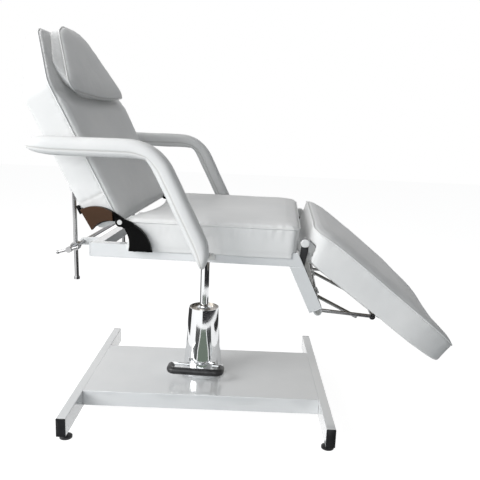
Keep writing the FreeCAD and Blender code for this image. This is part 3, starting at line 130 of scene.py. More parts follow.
sweep = flat_sheet("white_floor", [(-9, -9, 0), (9, -9, 0), (9, 9, 0), (-9, 9, 0)], [(0, 1, 2, 3)])
paper = bpy.data.materials.new("floor_paper")
paper.use_nodes = True
paper_tree = paper.node_tree
paper_tree.nodes.clear()
paper_matt = paper_tree.nodes.new("ShaderNodeBsdfDiffuse")
paper_matt.inputs["Color"].default_value = (0.52, 0.54, 0.55, 1.0)
paper_glow = paper_tree.nodes.new("ShaderNodeEmission")
paper_glow.inputs["Color"].default_value = (1.0, 1.0, 1.0, 1.0)
paper_glow.inputs["Strength"].default_value = 0.93
paper_sum = paper_tree.nodes.new("ShaderNodeAddShader")
paper_faint = paper_tree.nodes.new("ShaderNodeBsdfDiffuse")
paper_faint.inputs["Color"].default_value = (0.30, 0.30, 0.30, 1.0)
paper_mix = paper_tree.nodes.new("ShaderNodeMixShader")
paper_out = paper_tree.nodes.new("ShaderNodeOutputMaterial")
paper_tree.links.new(paper_glow.outputs[0], paper_sum.inputs[0])
paper_tree.links.new(paper_faint.outputs[0], paper_sum.inputs[1])
paper_tree.links.new(seen_directly(paper_tree), paper_mix.inputs[0])
paper_tree.links.new(paper_matt.outputs[0], paper_mix.inputs[1])
paper_tree.links.new(paper_sum.outputs[0], paper_mix.inputs[2])
paper_tree.links.new(paper_mix.outputs[0], paper_out.inputs["Surface"])
sweep.data.materials.append(paper)


def only_in_metal(sheet, colour):
    """Let only reflections see this sheet, which glows in a dark colour: a painted reflection."""
    sheet.visible_camera = False
    sheet.visible_diffuse = False
    sheet.visible_shadow = False
    finish = bpy.data.materials.new(sheet.name)
    finish.use_nodes = True
    finish.node_tree.nodes.clear()
    glow = finish.node_tree.nodes.new("ShaderNodeEmission")
    glow.inputs["Color"].default_value = (*colour, 1.0)
    out = finish.node_tree.nodes.new("ShaderNodeOutputMaterial")
    finish.node_tree.links.new(glow.outputs[0], out.inputs["Surface"])
    sheet.data.materials.append(finish)


def painted_reflection_patch(name, colour, rows):
    """A dark glowing sheet just above the floor round the chair that only reflections see: a painted
    reflection.
    Each row has its distance from the pump along the floor, and where it starts and ends, in degrees to the
    right of the camera."""
    pump_x, camera_side, above_floor = -0.132, 83.0, 0.004
    corners, faces, across = [], [], 13
    for reach, start, end in rows:
        for turn in np.radians(np.linspace(start, end, across) - camera_side):
            corners.append((pump_x + reach * math.cos(turn), reach * math.sin(turn), above_floor))
    for first in range(0, (len(rows) - 1) * across, across):
        for step in range(first, first + across - 1):
            faces.append((step, step + 1, step + across + 1, step + across))
    only_in_metal(flat_sheet(name, corners, faces), colour)


# Painted reflections: dark glowing sheets round the chair that only the metal sees.
painted_reflection_patch("painted_reflection_middle", (0.185, 0.225, 0.185),
           [(0.33, -24, 24), (0.45, -34, 34), (0.75, -30, 30), (1.2, -16, 16)])
painted_reflection_patch("painted_reflection_flank_right", (0.075, 0.080, 0.080), [(0.45, 39, 47), (0.75, 34, 54), (1.2, 20, 52)])
painted_reflection_patch("painted_reflection_flank_left", (0.10, 0.105, 0.105), [(0.45, -47, -39), (0.75, -54, -34), (1.2, -52, -20)])
painted_reflection_patch("painted_reflection_arch", (0.03, 0.03, 0.03), [(0.9, 95, 115), (1.0, 80, 135), (1.15, 76, 142)])
painted_reflection_patch("painted_reflection_right", (0.03, 0.03, 0.032), [(1.35, -10, 180), (3.2, -10, 180)])
painted_reflection_patch("painted_reflection_left", (0.05, 0.05, 0.05), [(0.8, -180, -100), (3.2, -180, -100)])
# A dark glowing wall that only reflections see: a painted reflection.
painted_reflection_wall = flat_sheet("painted_reflection_wall", [(-6, -4.4, 0.1), (6, -4.4, 0.1), (6, -4.4, 3.0), (-6, -4.4, 3.0)],
                       [(0, 1, 2, 3)])
only_in_metal(painted_reflection_wall, (0.045, 0.047, 0.050))

# Base
# Two white powder-coated steel tubes with a folded sheet tray welded between them.
# Black plastic caps close the tube ends, and black feet on threaded stems stand under them.


def new_finish(name, colour, roughness, metallic=0.0):
    """A finish with one main shader; its constant values are set on the shader's own sockets."""
    finish = bpy.data.materials.new(name)
    finish.use_nodes = True
    shader = finish.node_tree.nodes["Principled BSDF"]
    shader.inputs["Base Color"].default_value = (*colour, 1.0)
    shader.inputs["Roughness"].default_value = roughness
    shader.inputs["Metallic"].default_value = metallic
    return finish, finish.node_tree, shader


def speckle(tree, scale, detail, stretch=(1, 1, 1), kind="ShaderNodeTexNoise"):
    """A texture in the piece's own metres, so that it moves with the piece."""
    place = tree.nodes.new("ShaderNodeTexCoord")
    sized = tree.nodes.new("ShaderNodeMapping")
    sized.inputs["Scale"].default_value = stretch
    texture = tree.nodes.new(kind)
    texture.inputs["Scale"].default_value = scale
    if "Detail" in texture.inputs:
        texture.inputs["Detail"].default_value = detail
    tree.links.new(place.outputs["Object"], sized.inputs["Vector"])
    tree.links.new(sized.outputs["Vector"], texture.inputs["Vector"])
    return texture


def tone(tree, source, stops):
    """A colour ramp from a texture's value."""
    ramp = tree.nodes.new("ShaderNodeValToRGB")
    while len(ramp.color_ramp.elements) < len(stops):
        ramp.color_ramp.elements.new(0.5)
    for element, (at, colour) in zip(ramp.color_ramp.elements, stops):
        element.position = at
        element.color = (*colour, 1.0)
    tree.links.new(source, ramp.inputs["Fac"])
    return ramp.outputs["Color"]


def spread(tree, source, low, high):
    """A texture's value moved to the range from low to high."""
    spreader = tree.nodes.new("ShaderNodeMapRange")
    spreader.inputs["To Min"].default_value = low
    spreader.inputs["To Max"].default_value = high
    tree.links.new(source, spreader.inputs["Value"])
    return spreader.outputs["Result"]


def relief(tree, shader, source, strength, depth):
    """Raise the surface by a texture's value."""
    bump = tree.nodes.new("ShaderNodeBump")
    bump.inputs["Strength"].default_value = strength
    bump.inputs["Distance"].default_value = depth
    tree.links.new(source, bump.inputs["Height"])
    tree.links.new(bump.outputs["Normal"], shader.inputs["Normal"])
    return bump


def coat_parts(finish, names, edge=0.0):
    """Give CAD pieces a finish, and ease their sharp edges by a fine round."""
    for name in names:
        piece = nodes[name]
        piece.data.materials.clear()
        piece.data.materials.append(finish)
        if edge:
            weld = piece.modifiers.new("joined faces", "WELD")
            weld.merge_threshold = 0.00002
            ease = piece.modifiers.new("eased edges", "BEVEL")
            ease.width = edge
            ease.segments = 2
            ease.limit_method = "ANGLE"
            ease.angle_limit = math.radians(40)
            ease.harden_normals = False


def white_enamel():
    finish, tree, shader = new_finish("white_enamel", (0.81, 0.82, 0.83), 0.22)
    shader.inputs["Coat Weight"].default_value = 1.0
    shader.inputs["Coat Roughness"].default_value = 0.04
    dust_and_seam_shade = speckle(tree, 5.0, 6.0)
    shades = [(0.3, (0.78, 0.795, 0.805)), (0.62, (0.83, 0.84, 0.845))]
    tree.links.new(tone(tree, dust_and_seam_shade.outputs["Fac"], shades), shader.inputs["Base Color"])
    smear = speckle(tree, 22.0, 4.0)
    tree.links.new(spread(tree, smear.outputs["Fac"], 0.14, 0.30), shader.inputs["Roughness"])
    peel = speckle(tree, 420.0, 2.0)
    relief(tree, shader, peel.outputs["Fac"], 0.10, 0.0004)
    return finish


enamel = white_enamel()
coat_parts(enamel, ["base_rail_foot", "base_rail_head", "base_tray"], 0.0016)


def black_plastic():
    finish, tree, shader = new_finish("black_plastic", (0.012, 0.012, 0.013), 0.42)
    mould = speckle(tree, 900.0, 3.0)
    relief(tree, shader, mould.outputs["Fac"], 0.25, 0.0003)
    wear = speckle(tree, 40.0, 5.0)
    shades = [(0.35, (0.010, 0.010, 0.011)), (0.75, (0.024, 0.024, 0.026))]
    tree.links.new(tone(tree, wear.outputs["Fac"], shades), shader.inputs["Base Color"])
    return finish


plastic = black_plastic()
coat_parts(plastic, ["rail_end_caps"], 0.0012)
coat_parts(plastic, ["levelling_feet"])


def zinc_steel():
    finish, tree, shader = new_finish("zinc_steel", (0.55, 0.56, 0.57), 0.36, 1.0)
    grain = speckle(tree, 60.0, 8.0, (1, 12, 1))
    tree.links.new(spread(tree, grain.outputs["Fac"], 0.26, 0.48), shader.inputs["Roughness"])
    cast = speckle(tree, 12.0, 3.0)
    shades = [(0.3, (0.47, 0.48, 0.50)), (0.7, (0.62, 0.62, 0.60))]
    tree.links.new(tone(tree, cast.outputs["Fac"], shades), shader.inputs["Base Color"])
    return finish


zinc = zinc_steel()
coat_parts(zinc, ["foot_nuts"])

# Pump
# A hydraulic pump stands on a bolted flange inside a tapered, polished chrome cover.
# Its chromed rod comes up through a wiper ring in the cover's cap and carries the seat.


def mirror_chrome():
    finish, tree, shader = new_finish("mirror_chrome", (0.80, 0.81, 0.82), 0.05, 1.0)
    smear = speckle(tree, 18.0, 5.0)
    tree.links.new(spread(tree, smear.outputs["Fac"], 0.02, 0.10), shader.inputs["Roughness"])
    polish = speckle(tree, 30.0, 2.0, (1, 1, 0.2))
    relief(tree, shader, polish.outputs["Fac"], 0.06, 0.0006)
    return finish


chrome = mirror_chrome()
coat_parts(enamel, ["pump_flange"], 0.001)
coat_parts(zinc, ["flange_bolts", "pump_cylinder", "piston_head"])
coat_parts(chrome, ["pump_cover", "piston_rod", "rod_wiper"])


def cap_finish():
    finish, tree, shader = new_finish("cover_cap_metal", (0.44, 0.40, 0.36), 0.4, 1.0)
    rings = speckle(tree, 25.0, 6.0)
    tree.links.new(spread(tree, rings.outputs["Fac"], 0.30, 0.50), shader.inputs["Roughness"])
    stain = speckle(tree, 14.0, 5.0)
    shades = [(0.3, (0.36, 0.32, 0.27)), (0.7, (0.56, 0.53, 0.50))]
    tree.links.new(tone(tree, stain.outputs["Fac"], shades), shader.inputs["Base Color"])
    return finish


coat_parts(cap_finish(), ["cover_cap"])

# Pedal
# A bent chrome bar with a black rubber sleeve, welded to a shaft that turns in lugs under the cover.
# Pressing it pumps the chair up.


def sleeve_rubber():
    finish, tree, shader = new_finish("sleeve_rubber", (0.016, 0.016, 0.017), 0.38)
    ribs = speckle(tree, 1200.0, 2.0)
    relief(tree, shader, ribs.outputs["Fac"], 0.3, 0.0003)
    scuff = speckle(tree, 60.0, 6.0)
    shades = [(0.4, (0.012, 0.012, 0.013)), (0.8, (0.045, 0.045, 0.047))]
    tree.links.new(tone(tree, scuff.outputs["Fac"], shades), shader.inputs["Base Color"])
    return finish


rubber = sleeve_rubber()
coat_parts(zinc, ["pedal_lugs"])
coat_parts(chrome, ["pedal_bar"])
coat_parts(rubber, ["pedal_sleeve"])
nodes["pedal_sleeve"].visible_glossy = False

# Seat frame
# White powder-coated tubes: side rails, a rear tube and raked front legs with a bar between them.
# The pump's rod turns in a socket under a plate that is bolted to two hidden cross tubes.
coat_parts(enamel, ["seat_rail_left", "seat_rail_right", "front_leg_left", "front_leg_right",
                    "rear_cross_tube", "front_cross_bar", "tube_plugs", "stay_tabs", "mount_plate",
                    "seat_cross_tubes", "lever_hangers", "leg_slot_plates"], 0.0012)
coat_parts(zinc, ["column_socket", "mount_bolts"])

# Seat
# A plywood board with a foam cushion in white leatherette; light piping runs round its top edge.
# The side skirts hang outside the rails, and the rear edge is scooped so that air shows behind it.


def plywood():
    finish, tree, shader = new_finish("plywood", (0.60, 0.53, 0.44), 0.62)
    grain = speckle(tree, 9.0, 8.0, (1, 14, 14))
    shades = [(0.30, (0.48, 0.41, 0.33)), (0.52, (0.61, 0.54, 0.45)), (0.75, (0.69, 0.63, 0.55))]
    tree.links.new(tone(tree, grain.outputs["Fac"], shades), shader.inputs["Base Color"])
    relief(tree, shader, grain.outputs["Fac"], 0.25, 0.0006)
    return finish


ply = plywood()
coat_parts(ply, ["seat_board", "back_board", "leg_board"])


def white_leatherette(name, seam_shade):
    """Embossed white vinyl: fine pebble grain, a soft sheen, and painted shade that darkens the colour
    along the seams.
    """
    finish, tree, shader = new_finish(name, (0.84, 0.84, 0.83), 0.46)
    shader.inputs["Sheen Weight"].default_value = 0.04
    shader.inputs["Specular IOR Level"].default_value = 0.32
    shader.inputs["Coat Weight"].default_value = 0.06
    shader.inputs["Coat Roughness"].default_value = 0.35
    cloud = speckle(tree, 7.0, 4.0)
    colour = tone(tree, cloud.outputs["Fac"], [(0.3, (0.815, 0.818, 0.815)), (0.7, (0.86, 0.858, 0.85))])
    # Painted shade: the colour turns grey along the seams, by a value that the cover carries on its points.
    if seam_shade:
        near = tree.nodes.new("ShaderNodeAttribute")
        near.attribute_name = "painted_seam_shade"
        seam_shaded = tree.nodes.new("ShaderNodeMix")
        seam_shaded.data_type = "RGBA"
        seam_shaded.inputs["B"].default_value = (0.62, 0.61, 0.59, 1.0)
        tree.links.new(near.outputs["Fac"], seam_shaded.inputs["Factor"])
        tree.links.new(colour, seam_shaded.inputs["A"])
        colour = seam_shaded.outputs["Result"]
    tree.links.new(colour, shader.inputs["Base Color"])
    pebble = speckle(tree, 620.0, 2.0, kind="ShaderNodeTexVoronoi")
    creases = speckle(tree, 95.0, 6.0)
    blend = tree.nodes.new("ShaderNodeMath")
    blend.operation = "MULTIPLY_ADD"
    blend.inputs[1].default_value = 0.6
    tree.links.new(creases.outputs["Fac"], blend.inputs[0])
    tree.links.new(pebble.outputs["Distance"], blend.inputs[2])
    relief(tree, shader, blend.outputs[0], 0.16, 0.0007)
    worn = speckle(tree, 30.0, 4.0)
    tree.links.new(spread(tree, worn.outputs["Fac"], 0.36, 0.56), shader.inputs["Roughness"])
    return finish


leatherette = white_leatherette("white_leatherette", True)
piping_vinyl = white_leatherette("piping_vinyl", False)


def sewn_line(corners, radii, level, scoop=None, step=0.004):
    """A closed row of points on a flat outline with rounded corners; one side may be scooped inwards."""
    points = [Vector((x, y, 0.0)) for x, y in corners]
    turns = []
    for index, here in enumerate(points):
        back = (points[index - 1] - here).normalized()
        ahead = (points[(index + 1) % len(points)] - here).normalized()
        half = back.angle(ahead) / 2
        reach = radii[index] / math.tan(half)
        centre = here + (back + ahead).normalized() * (radii[index] / math.sin(half))
        start, end = here + back * reach - centre, here + ahead * reach - centre
        turns.append((start, end, centre, math.pi - 2 * half))
    line = []
    for index, (start, end, centre, angle) in enumerate(turns):
        count = max(3, round(angle * start.length / step))
        for share in np.linspace(0, 1, count + 1):
            line.append(centre + (start * math.sin((1 - share) * angle) + end * math.sin(share * angle))
                        / math.sin(angle))
        onward = turns[(index + 1) % len(turns)]
        first, last = centre + end, onward[2] + onward[0]
        inward = Vector((0, 0, 1)).cross(last - first).normalized()
        count = max(2, round((last - first).length / step))
        for share in np.linspace(0, 1, count + 1)[1:-1]:
            bow = scoop[1] * 4 * share * (1 - share) if scoop and index == scoop[0] else 0.0
            line.append(first.lerp(last, share) + inward * bow)
    return [point + Vector((0, 0, level)) for point in line]


def settle(piece):
    """Make what a piece's modifiers do part of its mesh."""
    graph = bpy.context.evaluated_depsgraph_get()
    mesh = bpy.data.meshes.new_from_object(piece.evaluated_get(graph))
    piece.modifiers.clear()
    piece.data = mesh


def points_of(mesh, key="co"):
    flat = np.zeros(len(mesh.vertices) * 3, np.float32)
    mesh.vertices.foreach_get(key, flat)
    return flat.reshape(-1, 3).astype(float)


def seam_finder(lines):
    tree = kdtree.KDTree(sum(len(line) for line in lines))
    count = 0
    for line in lines:
        for point in line:
            tree.insert(point, count)
            count += 1
    tree.balance()
    return tree


def blow_up(cover, seams, up, give_up, give_side, limit):
    """Let air pressure round the panels between the sewn seams, which stay where they are."""
    rest = points_of(cover.data)
    facing = points_of(cover.data, "normal") @ np.array(up)
    away = np.array([seams.find(Vector(point))[2] for point in rest])
    held = cover.vertex_groups.new(name="sewn")
    for index, distance in enumerate(away):
        hold = 1.0 if facing[index] < -0.6 else max(0.0, 1.0 - distance / 0.02)
        if hold > 0:
            held.add([index], hold, "REPLACE")
    cloth = cover.modifiers.new("stuffed", "CLOTH")
    cloth.settings.use_pressure = True
    cloth.settings.uniform_pressure_force = 4.0
    cloth.settings.vertex_group_mass = "sewn"
    cloth.settings.effector_weights.gravity = 0.0
    cloth.settings.quality = 2
    cloth.settings.tension_stiffness = 25
    cloth.settings.bending_stiffness = 2.0
    for step in range(1, 11):
        scene.frame_set(step)
    puffed = points_of(cover.evaluated_get(bpy.context.evaluated_depsgraph_get()).data)
    cover.modifiers.clear()
    scene.frame_set(1)
    move = puffed - rest
    length = np.linalg.norm(move, axis=1)
    give = np.where(facing > 0.25, give_up, give_side)
    move *= (give * np.minimum(1.0, limit / np.maximum(length, 1e-6)))[:, None]
    cover.data.vertices.foreach_set("co", (rest + move).astype(np.float32).ravel())
    cover.data.update()


def tuck(cover, seams, depth, pucker, soft, seed):
    """Pull the seams in, gather the cover a little beside them, let the foam lie unevenly, and store
    painted shade along the seams.
    """
    mesh = cover.data
    place, normal = points_of(mesh), points_of(mesh, "normal")
    shift, dust_and_seam_shade = np.zeros(len(place)), np.zeros(len(place), np.float32)
    for index, point in enumerate(place):
        here = Vector(point)
        near, number, away = seams.find(here)
        groove = depth * math.exp(-(away / 0.0045) ** 2)
        gather = pucker * math.exp(-away / 0.022) * noise.noise(Vector((number * 0.30, away * 25, seed)))
        lump = soft * noise.noise(here * 9 + Vector((seed, 0, 0))) + soft * 0.4 * noise.noise(here * 24)
        shift[index] = gather + lump * min(1.0, away / 0.03) - groove
        # Painted shade along each seam, which darkens the cover's colour there.
        dust_and_seam_shade[index] = 0.55 * math.exp(-(away / 0.004) ** 2)
    mesh.vertices.foreach_set("co", (place + normal * shift[:, None]).astype(np.float32).ravel())
    layer = mesh.attributes.new("painted_seam_shade", "FLOAT", "POINT")
    layer.data.foreach_set("value", dust_and_seam_shade)
    mesh.update()


def upholster(name, form, node, body, place, lines, up, give, seed, voxel=0.006, limit=0.024):
    """The cushion's cover: evenly meshed from the foam's form, blown up between its seams, and sewn in."""
    cover = bpy.data.objects.new(name, form)
    scene.collection.objects.link(cover)
    even = cover.modifiers.new("even mesh", "REMESH")
    even.mode = "VOXEL"
    even.voxel_size = voxel
    settle(cover)
    lines = [[place @ point for point in line] for line in lines]
    seams = seam_finder(lines)
    direction = (place.to_3x3() @ Vector(up)).normalized()
    blow_up(cover, seams, direction, give[0], give[1], limit)
    finer = cover.modifiers.new("finer mesh", "SUBSURF")
    finer.levels = finer.render_levels = 1
    settle(cover)
    tuck(cover, seams, depth=0.0016, pucker=0.0016, soft=0.0013, seed=seed)
    cover.data.materials.clear()
    cover.data.materials.append(leatherette)
    for face in cover.data.polygons:
        face.use_smooth = True
    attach(cover, body)
    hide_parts(node)
    return cover


def lay_piping(name, body, place, line, radius=0.0021, closed=True):
    """A thin cord of piping in the cover's own vinyl along a seam."""
    curve = bpy.data.curves.new(name, "CURVE")
    curve.dimensions = "3D"
    run = curve.splines.new("POLY")
    run.points.add(len(line) - 1)
    for spot, point in zip(run.points, line):
        spot.co = (*(place @ point), 1.0)
    run.use_cyclic_u = closed
    curve.bevel_depth = radius
    curve.bevel_resolution = 2
    curve.materials.append(piping_vinyl)
    piping = bpy.data.objects.new(name, curve)
    scene.collection.objects.link(piping)
    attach(piping, body)
    return piping


def run_between(start, end, count=24):
    return [Vector(start).lerp(Vector(end), share) for share in np.linspace(0, 1, count)]


def closed_over(node, place, boxes):
    """A foam's form with its cut-outs closed, as the cover is drawn over them."""
    shape = bmesh.new()
    shape.from_mesh(nodes[node].data)
    for low, high in boxes:
        middle = (Vector(low) + Vector(high)) / 2
        size = Vector(high) - Vector(low)
        bmesh.ops.create_cube(shape, size=1.0, matrix=place @ Matrix.Translation(middle)
                              @ Matrix.Diagonal((*size, 1.0)))
    mesh = bpy.data.meshes.new(f"{node}_form")
    shape.to_mesh(mesh)
    shape.free()
    return mesh


seat_place = Matrix.Translation((-0.13184, 0, 0.584))
seat_front, seat_rear, seat_half, seat_top = 0.300, -0.192, 0.312, 0.068
seat_edge = sewn_line([(seat_front, -seat_half), (seat_front, seat_half), (seat_rear, seat_half),
                       (seat_rear, -seat_half)], [0.0238, 0.0238, 0.034, 0.034], seat_top, (2, 0.038))
seam_high, seam_low = 0.066, -0.016
seat_corners = []
for side in (-1, 1):
    seat_corners.append(run_between((0.293, side * 0.305, seam_high), (0.290, side * 0.302, seam_low)))
    seat_corners.append(run_between((-0.182, side * 0.302, seam_high), (-0.180, side * 0.299, seam_low)))
skirt_in, skirt_out, gap_low, gap_high = 0.2985, 0.3075, -0.0175, 0.012
seat_gaps = []
for start, end in ((-0.188, -0.106), (-0.002, 0.084)):
    seat_gaps.append(((start, skirt_in, gap_low), (end, skirt_out, gap_high)))
    seat_gaps.append(((start, -skirt_out, gap_low), (end, -skirt_in, gap_high)))
seat_form = closed_over("seat_cushion", seat_place, seat_gaps)
upholster("seat_cover", seat_form, "seat_cushion", "frame", seat_place, [seat_edge] + seat_corners,
          up=(0, 0, 1), give=(0.35, 0.08), seed=3.0, voxel=0.004)
lay_piping("seat_piping", "frame", seat_place, seat_edge)

# Back section
# A foam cushion on plywood with a flat white side band, narrowing at the shoulders to the head end.
# Piping runs round its front face, and a seam crosses each side band near the hinge.
back_place = (Matrix.Translation(pivots["recline"]) @ Matrix.Rotation(math.radians(63), 4, "Y")
              @ Matrix.Translation((0, 0, -0.0076)))
back_edge = sewn_line([(0, -0.307), (0, 0.307), (-0.425, 0.319), (-0.599, 0.186), (-0.599, -0.186),
                       (-0.425, -0.319)], [0.024, 0.024, 0.060, 0.060, 0.060, 0.060], 0.0)
seam_x = -0.094
band_seams = []
for side in (-1, 1):
    band_seams.append(run_between((seam_x, side * 0.310, -0.004), (seam_x, side * 0.307, -0.084)))
upholster("back_cover", nodes["back_cushion"].data.copy(), "back_cushion", "backrest", back_place,
          [back_edge] + band_seams, up=(0, 0, 1), give=(0.35, 0.05), seed=11.0)
lay_piping("back_piping", "backrest", back_place, back_edge)

# Head pillow
# A loose D-shaped pillow in the same leatherette, held on the head end by touch tape.
# An upright gusset, sewn at both rims, joins its rear panel to its wider front panel.


def even_ring(line, count=160):
    """An outline as evenly spaced points that start at the middle of its end towards the seat."""
    places = np.array([tuple(point) for point in line + line[:1]])
    walked = np.concatenate([[0.0], np.cumsum(np.linalg.norm(np.diff(places, axis=0), axis=1))])
    marks = np.linspace(0, walked[-1], count, endpoint=False)
    ring = np.stack([np.interp(marks, walked, places[:, axis]) for axis in range(3)], axis=1)
    first = np.argmin(np.abs(ring[:, 1]) + (np.abs(ring[:, 0]) > np.abs(ring[:, 0]).mean()))
    return np.roll(ring, -first, axis=0)


def drawn_in(ring, share, level):
    """An outline drawn in towards its middle at another level."""
    middle = ring.mean(axis=0)
    inner = middle + (ring - middle) * share
    inner[:, 2] = level
    return inner


def stuffed_form(name, place, rings):
    """A closed form through a row of outlines, which all have the same number of points."""
    count = len(rings[0])
    faces = [tuple(range(count - 1, -1, -1))]
    for first in range(0, (len(rings) - 1) * count, count):
        for step in range(count):
            nearby = (step + 1) % count
            faces.append((first + step, first + nearby, first + count + nearby, first + count + step))
    faces.append(tuple(range((len(rings) - 1) * count, len(rings) * count)))
    mesh = bpy.data.meshes.new(name)
    mesh.from_pydata([place @ Vector(point) for ring in rings for point in ring], [], faces)
    return mesh


def both_halves(half):
    """A symmetrical outline from the corners of its far half."""
    near = [(x, -y) for x, y in half]
    return [near[0]] + half + near[:0:-1]


pillow_foot = sewn_line(both_halves([(-0.377, 0.150), (-0.425, 0.245), (-0.485, 0.242), (-0.590, 0.135),
                                     (-0.606, 0.060)]),
                        [0.080, 0.080, 0.050, 0.060, 0.080, 0.100, 0.100, 0.080, 0.060, 0.050], 0.0135)
pillow_rim = sewn_line(both_halves([(-0.384, 0.282), (-0.585, 0.118), (-0.608, 0.060)]),
                       [0.022, 0.022, 0.080, 0.100, 0.100, 0.080], 0.0350, (0, -0.013))
rear_ring, front_ring = even_ring(pillow_foot), even_ring(pillow_rim)
pillow_rings = [drawn_in(rear_ring, 0.95, 0.0092), rear_ring, front_ring]
for share, level in ((0.97, 0.0400), (0.91, 0.0448), (0.78, 0.0488), (0.5, 0.0512), (0.2, 0.0520)):
    pillow_rings.append(drawn_in(front_ring, share, level))
pillow_form = stuffed_form("pillow_form", back_place, pillow_rings)
upholster("pillow_cover", pillow_form, "head_pillow", "pillow", back_place, [pillow_foot, pillow_rim],
          up=(0, 0, 1), give=(0.5, 0.08), seed=23.0, voxel=0.004)
lay_piping("pillow_piping", "pillow", back_place, pillow_rim, 0.0018)

# Leg section
# A foam cushion on plywood with a deep side band; it tapers and falls away at the foot end.
# Piping follows the top edge, and the end towards the seat is undercut so that it clears the seat.
leg_place = Matrix.Translation(pivots["leg_raise"]) @ Matrix.Rotation(math.radians(36.6), 4, "Y")
leg_half, leg_top, leg_under = 0.309, 0.052, -0.034


def leg_ring(level):
    """The leg section's outline at a level; below the piping the end towards the seat is drawn back."""
    start, undercut, band = -0.010, 0.028, 0.087
    start += undercut * (leg_top - level) / band
    outline = both_halves([(start, leg_half), (0.425, leg_half), (0.534, 0.264), (0.558, 0.132)])
    radii = [0.055, 0.055, 0.300, 0.095, 0.200, 0.200, 0.095, 0.300]
    return even_ring(sewn_line(outline, radii, level), 240)


def eased(value, start, end):
    """0 before the start, 1 after the end, and a smooth rise between them."""
    share = np.clip((value - start) / (end - start), 0.0, 1.0)
    return share * share * (3 - 2 * share)


def foot_fall(ring):
    """The foam gets thinner towards the foot, most in the middle, and at the corners by the seat."""
    x, y = ring[:, 0], np.abs(ring[:, 1])
    middle = 1 - np.minimum(1.0, y / leg_half) ** 3
    drop = 0.006 * eased(x, 0.10, 0.43)
    drop += middle * (0.020 * eased(x, 0.32, 0.44) + 0.010 * eased(x, 0.42, 0.56))
    drop += 0.008 * np.exp(-((x + 0.01) ** 2 + (y - leg_half) ** 2) / 0.0022)
    fallen = ring.copy()
    fallen[:, 2] -= drop * np.clip((ring[:, 2] - leg_under) / 0.086, 0.0, 1.0)
    return fallen


leg_rim = leg_ring(leg_top)
leg_rings = [drawn_in(leg_ring(leg_under), 0.988, leg_under), leg_ring(-0.030), leg_ring(0.010), leg_rim]
for share, level in ((0.975, 0.0585), (0.93, 0.0645), (0.84, 0.0690), (0.6, 0.0715), (0.25, 0.0720)):
    leg_rings.append(drawn_in(leg_rim, share, level))
leg_edge = [Vector(point) for point in foot_fall(leg_rim)]
leg_form = stuffed_form("leg_form", leg_place, [foot_fall(ring) for ring in leg_rings])


def with_hinge_room(form, place):
    """Room for the hinge lugs inside the side bands, and a flap of each band over the end of the pin."""
    flap_y, flap_radius, flap_thick = 0.3048, 0.0135, 0.0084
    room_x, room_y, room_z, room_size = 0.029, 0.285, -0.012, (0.138, 0.030, 0.048)
    shape = bmesh.new()
    for side in (-1, 1):
        flap = place @ Matrix.Translation((0, side * flap_y, 0)) @ Matrix.Rotation(math.pi / 2, 4, "X")
        bmesh.ops.create_cone(shape, cap_ends=True, segments=40, radius1=flap_radius, radius2=flap_radius,
                              depth=flap_thick, matrix=flap)
    piece = bpy.data.objects.new("leg_form", form)
    scene.collection.objects.link(piece)
    for side in (-1, 1):
        room = bmesh.new()
        spot = place @ Matrix.Translation((room_x, side * room_y, room_z))
        bmesh.ops.create_cube(room, size=1.0, matrix=spot @ Matrix.Diagonal((*room_size, 1.0)))
        mesh = bpy.data.meshes.new("hinge_room")
        room.to_mesh(mesh)
        room.free()
        cutter = bpy.data.objects.new("hinge_room", mesh)
        scene.collection.objects.link(cutter)
        cut = piece.modifiers.new("hinge room", "BOOLEAN")
        cut.operation = "DIFFERENCE"
        cut.object = cutter
        settle(piece)
        bpy.data.objects.remove(cutter)
    shape.from_mesh(piece.data)
    bpy.data.objects.remove(piece)
    whole = bpy.data.meshes.new("leg_form_whole")
    shape.to_mesh(whole)
    shape.free()
    return whole


upholster("leg_cover", with_hinge_room(leg_form, leg_place), "leg_cushion", "legrest", leg_place,
          [leg_edge], up=(0, 0, 1), give=(0.30, 0.05), seed=31.0, voxel=0.004)
lay_piping("leg_piping", "legrest", leg_place, leg_edge)

# Back hinge
# Black steel plates share one pivot bolt on each side. The back's plate wears a moulded plastic cover
# whose brown colour is a painted reflection, and the seat's plate a black one.


def gloss_moulding(name, dark, light, roughness, shine):
    finish, tree, shader = new_finish(name, dark, roughness)
    shader.inputs["Specular IOR Level"].default_value = shine
    swirl = speckle(tree, 16.0, 5.0)
    shades = [(0.35, dark), (0.7, light)]
    tree.links.new(tone(tree, swirl.outputs["Fac"], shades), shader.inputs["Base Color"])
    smear = speckle(tree, 50.0, 3.0)
    gloss = spread(tree, smear.outputs["Fac"], roughness * 0.7, roughness * 1.4)
    tree.links.new(gloss, shader.inputs["Roughness"])
    return finish


hinge_black = gloss_moulding("hinge_black", (0.0015, 0.0015, 0.0015), (0.003, 0.003, 0.003), 0.22, 0.06)
# The back cover's brown is a painted reflection, laid into its colour.
hinge_painted_brown_reflection = gloss_moulding("hinge_painted_brown_reflection", (0.060, 0.029, 0.014), (0.072, 0.034, 0.017), 0.20, 0.18)
coat_parts(hinge_black, ["seat_hinge_covers", "seat_hinge_plates", "back_hinge_plates", "hinge_foot_bolts"],
           0.0012)
coat_parts(hinge_painted_brown_reflection, ["back_hinge_covers"], 0.0012)
coat_parts(zinc, ["back_pivot_bolts"])

# Back adjuster
# Two chromed rods hang from ears on the back board and slide through a clamp shaft behind the frame.
# A tommy bar at each end of the shaft tightens the clamp.


